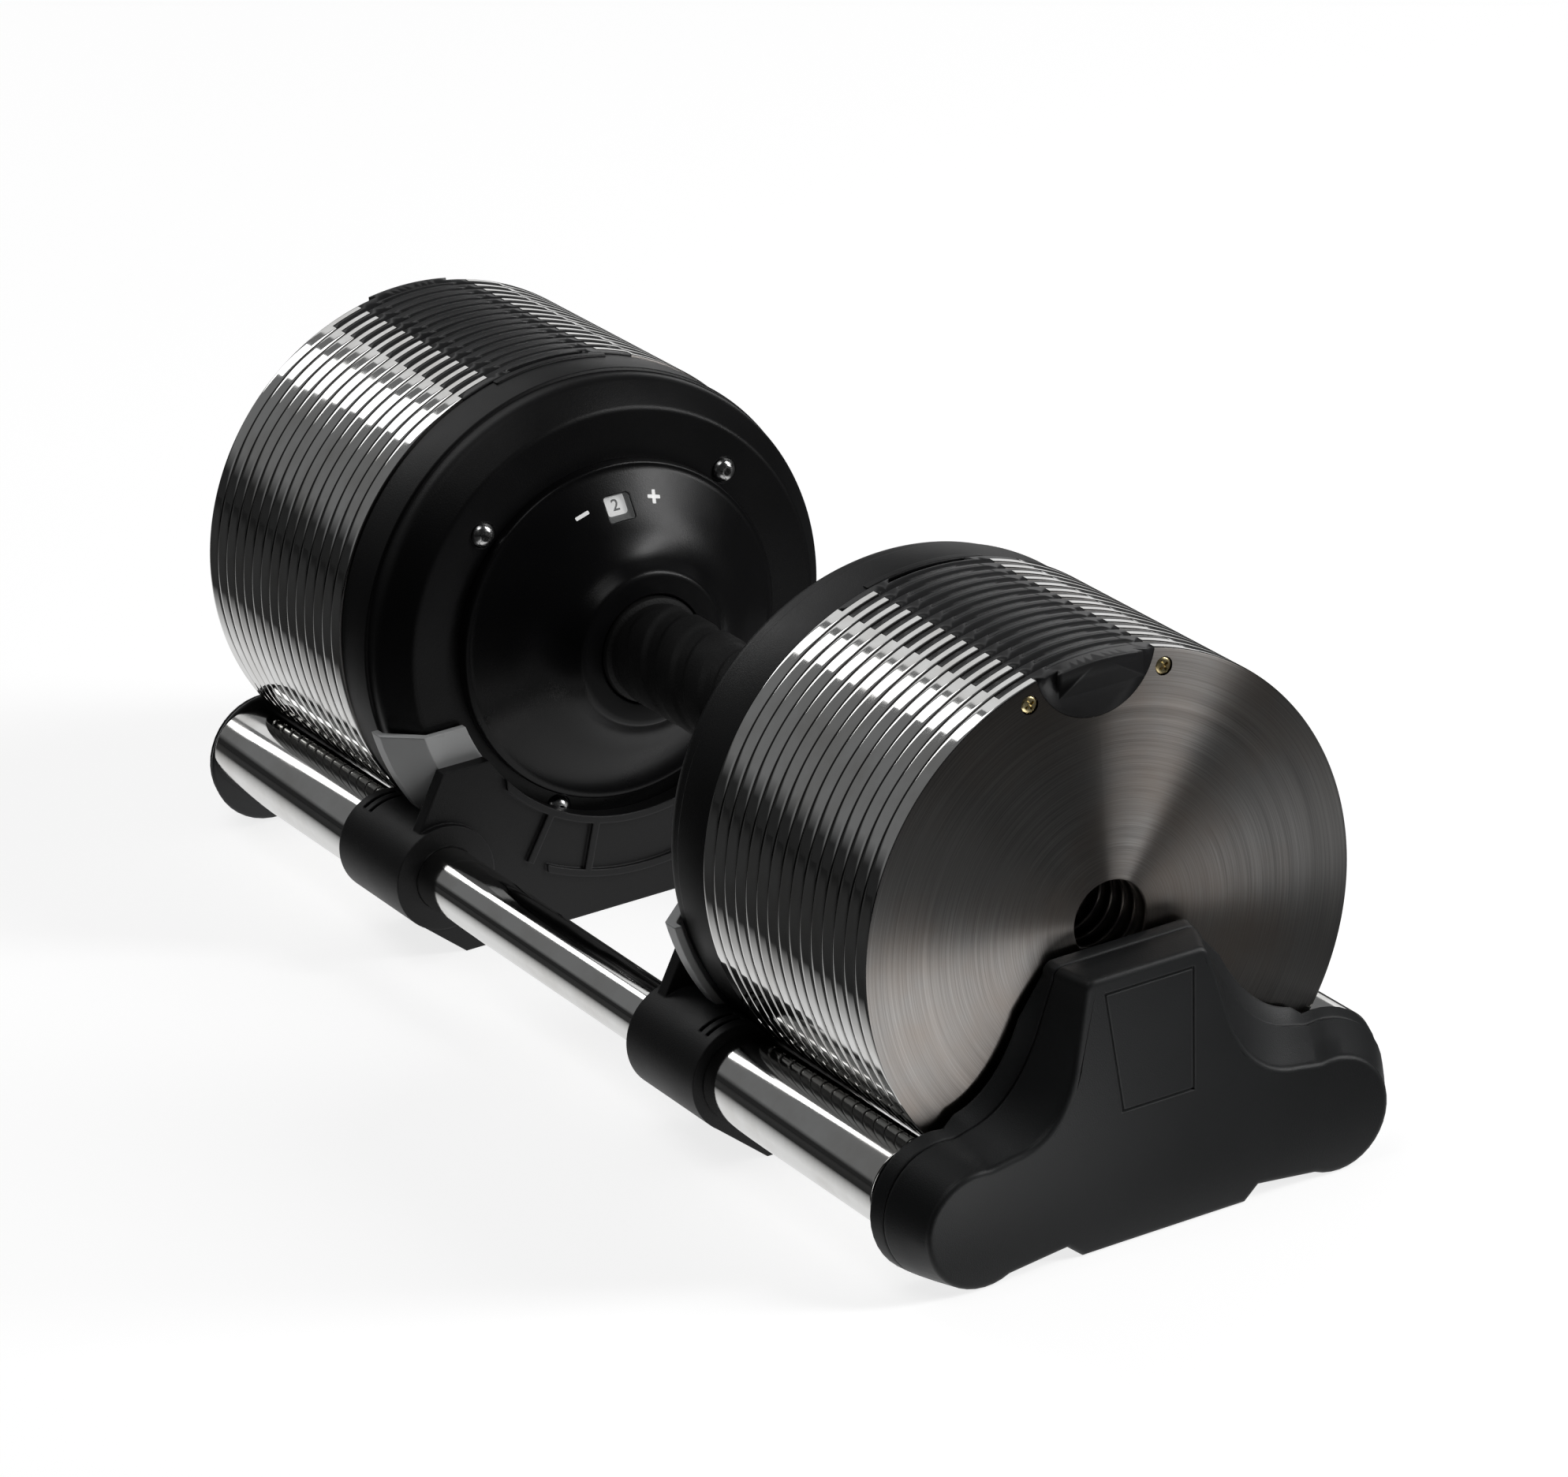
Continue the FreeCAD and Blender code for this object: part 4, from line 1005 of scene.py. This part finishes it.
for side, name in both_sides:
    shell = turned(rounded([
        (housing_high.x, housing_r, 0.0005), (step_x, housing_r, 0.0004),
        (step_x - 0.0004, housing_r - 0.001, 0.0003), (shoulder_x, housing_r - 0.001, 0.0022),
        (flat_x, bevel_r, 0.0012), (flat_x, ring_r, 0.0003), (flat_x + 0.003, ring_r, 0.0003),
        (flat_x + 0.003, bevel_r - 0.0012, 0.001), (shoulder_x + 0.0012, inside_r, 0.001),
        (housing_high.x, inside_r, 0.0003)], 5), (0.0, axis_z), 256, side)
    seats = [drum(0.0044, flat_x - 0.001, flat_x + 0.0004, y, axis_z + z, side, 48)
             for y, z in marks_at]
    hole = drum(lock_hole_r, 0.07, 0.09, 0.0, 0.0, 1, 48)
    hole.transform(stood_up(side * lock_x))
    shell = cut(shell, seats + [hole])
    fit("handle_housing_" + name, shell, housing_black, "handle_frame",
        ["housing_" + name])
    # short block that fills the notch line above the first plate
    profile = []
    for r, way in zip(key_radii, (-1, 1)):
        for k in range(25):
            a = way * key_reach * (1 - k / 12)
            profile.append(Vector((r * math.sin(a), axis_z + r * math.cos(a))))
    profile = profile[::-1]
    block = lofted([
        (housing_high.x - 0.003, drawn_in(profile, 0.0004)), (housing_high.x - 0.0027, profile),
        (housing_high.x - 0.0003, profile), (housing_high.x, drawn_in(profile, 0.0003))], side)
    fit("housing_key_" + name, block, housing_black, "handle_frame")
    dress("end_disc_" + name, housing_black)

# ---------------------------------------------------------------- housing screws
# Button-head steel screws with a hexagon socket hold each shell to its disc.
zinc = screw_metal(
    "bright zinc screw", (0.74, 0.74, 0.74, 1), (0.52, 0.52, 0.52, 1), 500.0, 0.16, 0.34)
dress("cradle_screws", zinc)

mark_rule, takes, gives = new_rule("Pieces on marks", {
    "Piece": "Object", "Turn": "Float", "Finish": "Material"})
turn = node(mark_rule, "ShaderNodeCombineXYZ", {2: takes["Turn"]}).outputs[0]
mark_rule.links.new(copies(mark_rule, takes, takes["Geometry"], Rotation=turn), gives[0])

button = turned(rounded([
    (0.0004, 0, 0), (-0.0024, 0, 0), (-0.0024, 0.0018, 0.0004), (-0.0016, 0.0033, 0.0012),
    (-0.0002, 0.0040, 0.0005), (0.0004, 0.0039, 0)], 4), (0.0, 0.0), 48)
part = solid(cut(button, [drum(0.0014, -0.0035, -0.0008, 0.0, 0.0, 1, 6)]))
heads = []
for side, turn in ((1, 0.0), (-1, math.pi)):
    seeds = bpy.data.meshes.new("marks")
    seeds.from_pydata([(side * flat_x, y, axis_z + z) for y, z in marks_at], [], [])
    heads.append(grown(mark_rule, {"Piece": part, "Turn": turn, "Finish": zinc}, seeds))
bpy.data.objects.remove(part)
fit("button_screws", joined(heads), zinc, "handle_frame", ["housing_screws"])

# ---------------------------------------------------------------- display caps
# A trumpet-shaped cap covers the wheel at each end of the grip.  A small window
# shows the weight, with a printed minus and plus beside it.
cap_black = plastic(
    "display cap black", (0.005, 0.005, 0.0055, 1), (0.03, 0.03, 0.032, 1), 0.32, 0.0005, 0.18,
    shine=0.28)
wall = 0.0026
collar = 0.060
mouth_r = 0.0182
hole_r = 0.0162
for side, name in both_sides:
    cap = turned(rounded([
        (flat_x - 0.00005, cap_r, 0.0003), (cap_edge_x - cap_ease, cap_r, 0.0016),
        (cap_edge_x - cap_ease, cap_r - cap_ease, 0.0012), (cone_x, cone_r, 0.004),
        (cone_x - 0.003, cone_r - 0.0062, 0.003), (cone_x - 0.006, cone_r - 0.0104, 0.003),
        (collar + 0.0026, 0.0271, 0.002), (collar + 0.0004, 0.0256, 0.0012),
        (collar, 0.0242, 0.0006), (collar, mouth_r, 0.0005), (collar + 0.005, mouth_r, 0.0004),
        (collar + 0.005, hole_r, 0), (collar + 0.005 + wall, hole_r, 0),
        (collar + 0.005 + wall, 0.0236, 0.001), (cone_x - 0.0006, cone_r - 0.0085, 0.003),
        (cone_x + wall, cone_r, 0.003),
        (cap_edge_x + wall - cap_ease, cap_r - wall - 0.0004, 0.0006),
        (flat_x - 0.00005, cap_r - wall - 0.0004, 0)], 5), (0.0, axis_z), 224, side)
    hole = plaque(0.0092, 0.0088, 0.008, 0.0010)
    hole.transform(on_cone(side, label_x - 0.0032, window_r, 0.0, -0.004))
    hole.transform(Matrix.Translation((0, 0, axis_z)))
    fit("display_cap_" + name, cut(cap, [hole]), cap_black, "handle_frame",
        ["display_cap_" + name])
    signs = []
    mark_x = cone_x + slope * (sign_r - cone_r)
    for turn, strokes in ((16.4, ((0.0050, 0.0012),)),
                          (-16.4, ((0.0046, 0.0012), (0.0012, 0.0046)))):
        for width, height in strokes:
            stroke = plaque(width, height, 0.00016, 0.0003)
            stroke.transform(on_cone(side, mark_x, sign_r, math.radians(turn), -0.00004))
            stroke.transform(Matrix.Translation((0, 0, axis_z)))
            signs.append(stroke)
    # the minus and plus use the same faintly glowing white: painted light
    fit("plus_minus_" + name, joined(signs), glowing_label_white, "handle_frame")

# ---------------------------------------------------------------- window lenses
# Clear moulded windows keep dust off the wheel.
clear, tree, shader = finish("clear moulded lens", {
    "Base Color": (0.95, 0.97, 0.97, 1), "Alpha": 0.12, "IOR": 1.45})
mould = use(tree, moulded_grain, Grain_per_metre=800.0, Clouds_per_metre=200.0)
wire(tree, shader, Roughness=span(tree, mould["Tone"], 0.3, 0.7, 0.01, 0.05))
dress("window_lenses", clear)

# ---------------------------------------------------------------- floor, light and camera
# A plain pale floor with soft lamps at the far end, behind, beside and overhead.
# The floor and walls look pale to the camera; reflections see them darker, with
# a pale strip under the dumbbell and a pale patch in front of its near end.
ground, tree, shader = finish("pale floor", {
    "Specular IOR Level": 0.1, "Emission Color": (1, 1, 1, 1)})
mould = use(tree, moulded_grain, Grain_per_metre=900.0, Clouds_per_metre=2.0)
seen = node(tree, "ShaderNodeLightPath").outputs["Is Camera Ray"]
place = own_place(tree)
apart = split(tree, place)
front = span(tree, apart[0], 0.22, 0.26, 0.75, 0.08)
beside = calc(tree, "MULTIPLY", span(
    tree, calc(tree, "ABSOLUTE", apart[1]), 0.10, 0.17, 1.0, 0.0), front)
from_patch = node(tree, "ShaderNodeVectorMath", {0: place, 1: (0.37, -0.045, 0.0)},
                  operation="DISTANCE").outputs["Value"]
pool = calc(tree, "MAXIMUM", beside, span(tree, from_patch, 0.07, 0.12, 1.7, 0.0))
pale = mix(tree, mould["Tone"], (0.50, 0.50, 0.50, 1), (0.54, 0.54, 0.54, 1))
unseen = calc(tree, "SUBTRACT", 1.0, seen)
wire(tree, shader,
     Base_Color=mix(tree, seen, (0.07, 0.07, 0.07, 1), pale),
     Roughness=span(tree, mould["Tone"], 0.3, 0.7, 0.7, 0.8),
     Emission_Strength=calc(tree, "ADD", calc(tree, "MULTIPLY", seen, 0.79), calc(
         tree, "MULTIPLY", unseen, pool)))
floor = solid(bpy.data.meshes.new("floor"), "floor")
floor.data.from_pydata([(-6, -6, 0), (6, -6, 0), (6, 6, 0), (-6, 6, 0)], [], [(0, 1, 2, 3)])
floor.data.materials.append(ground)


def lamp(name, way, distance, width, height, brightness):
    """A soft rectangular lamp in a given direction, facing the dumbbell."""
    light = bpy.data.lights.new(name, "AREA")
    light.shape = "RECTANGLE"
    light.size, light.size_y = width, height
    light.energy = brightness * math.pi * width * height
    made = bpy.data.objects.new(name, light)
    bpy.context.scene.collection.objects.link(made)
    made.location = Vector((0, 0, axis_z)) + distance * Vector(way).normalized()
    made.rotation_euler = Vector(way).to_track_quat("Z", "Y").to_euler()
    return made


lamp("far strip", (-0.81, -0.15, 0.57), 2.2, 0.34, 1.3, 2.4)
lamp("far soft", (-0.80, 0.14, 0.58), 2.4, 0.75, 1.3, 0.6)
lamp("behind", (0.55, 0.70, 0.50), 2.0, 0.34, 1.6, 12.0)
lamp("side", (-0.75, 0.62, 0.06), 2.2, 1.0, 0.9, 0.8)
lamp("overhead", (0.1, -0.35, 1.0), 1.8, 0.8, 0.8, 1.6)
world = bpy.data.worlds.new("studio")
bpy.context.scene.world = world
world.use_nodes = True
tree = world.node_tree
way = node(tree, "ShaderNodeTexCoord").outputs["Generated"]
apart = split(tree, way)
far_wall = span(tree, apart[0], -0.3, 0.0, 1.0, 0.10)
wall = calc(tree, "MULTIPLY", span(tree, apart[2], 0.10, 0.20, 0.02, 0.16), far_wall)
seen = node(tree, "ShaderNodeLightPath").outputs["Is Camera Ray"]
strength = calc(tree, "MAXIMUM", wall, seen)
tree.nodes["Background"].inputs[0].default_value = (0.98, 0.99, 1.0, 1)
tree.links.new(strength, tree.nodes["Background"].inputs[1])
bpy.context.scene.view_settings.view_transform = "Standard"

eye = Vector((1.9358, -1.0502, axis_z + 0.9047))
look_at = Vector((0.022, 0.0, axis_z - 0.004))
roll = math.radians(-4.3)
camera = bpy.data.objects.new("camera", bpy.data.cameras.new("camera"))
bpy.context.scene.collection.objects.link(camera)
camera.location = eye
turn = (look_at - eye).to_track_quat("-Z", "Y").to_matrix()
camera.rotation_euler = (turn @ Matrix.Rotation(roll, 3, "Z")).to_euler()
camera.data.lens = 176
camera.data.sensor_width = 36
bpy.context.scene.camera = camera
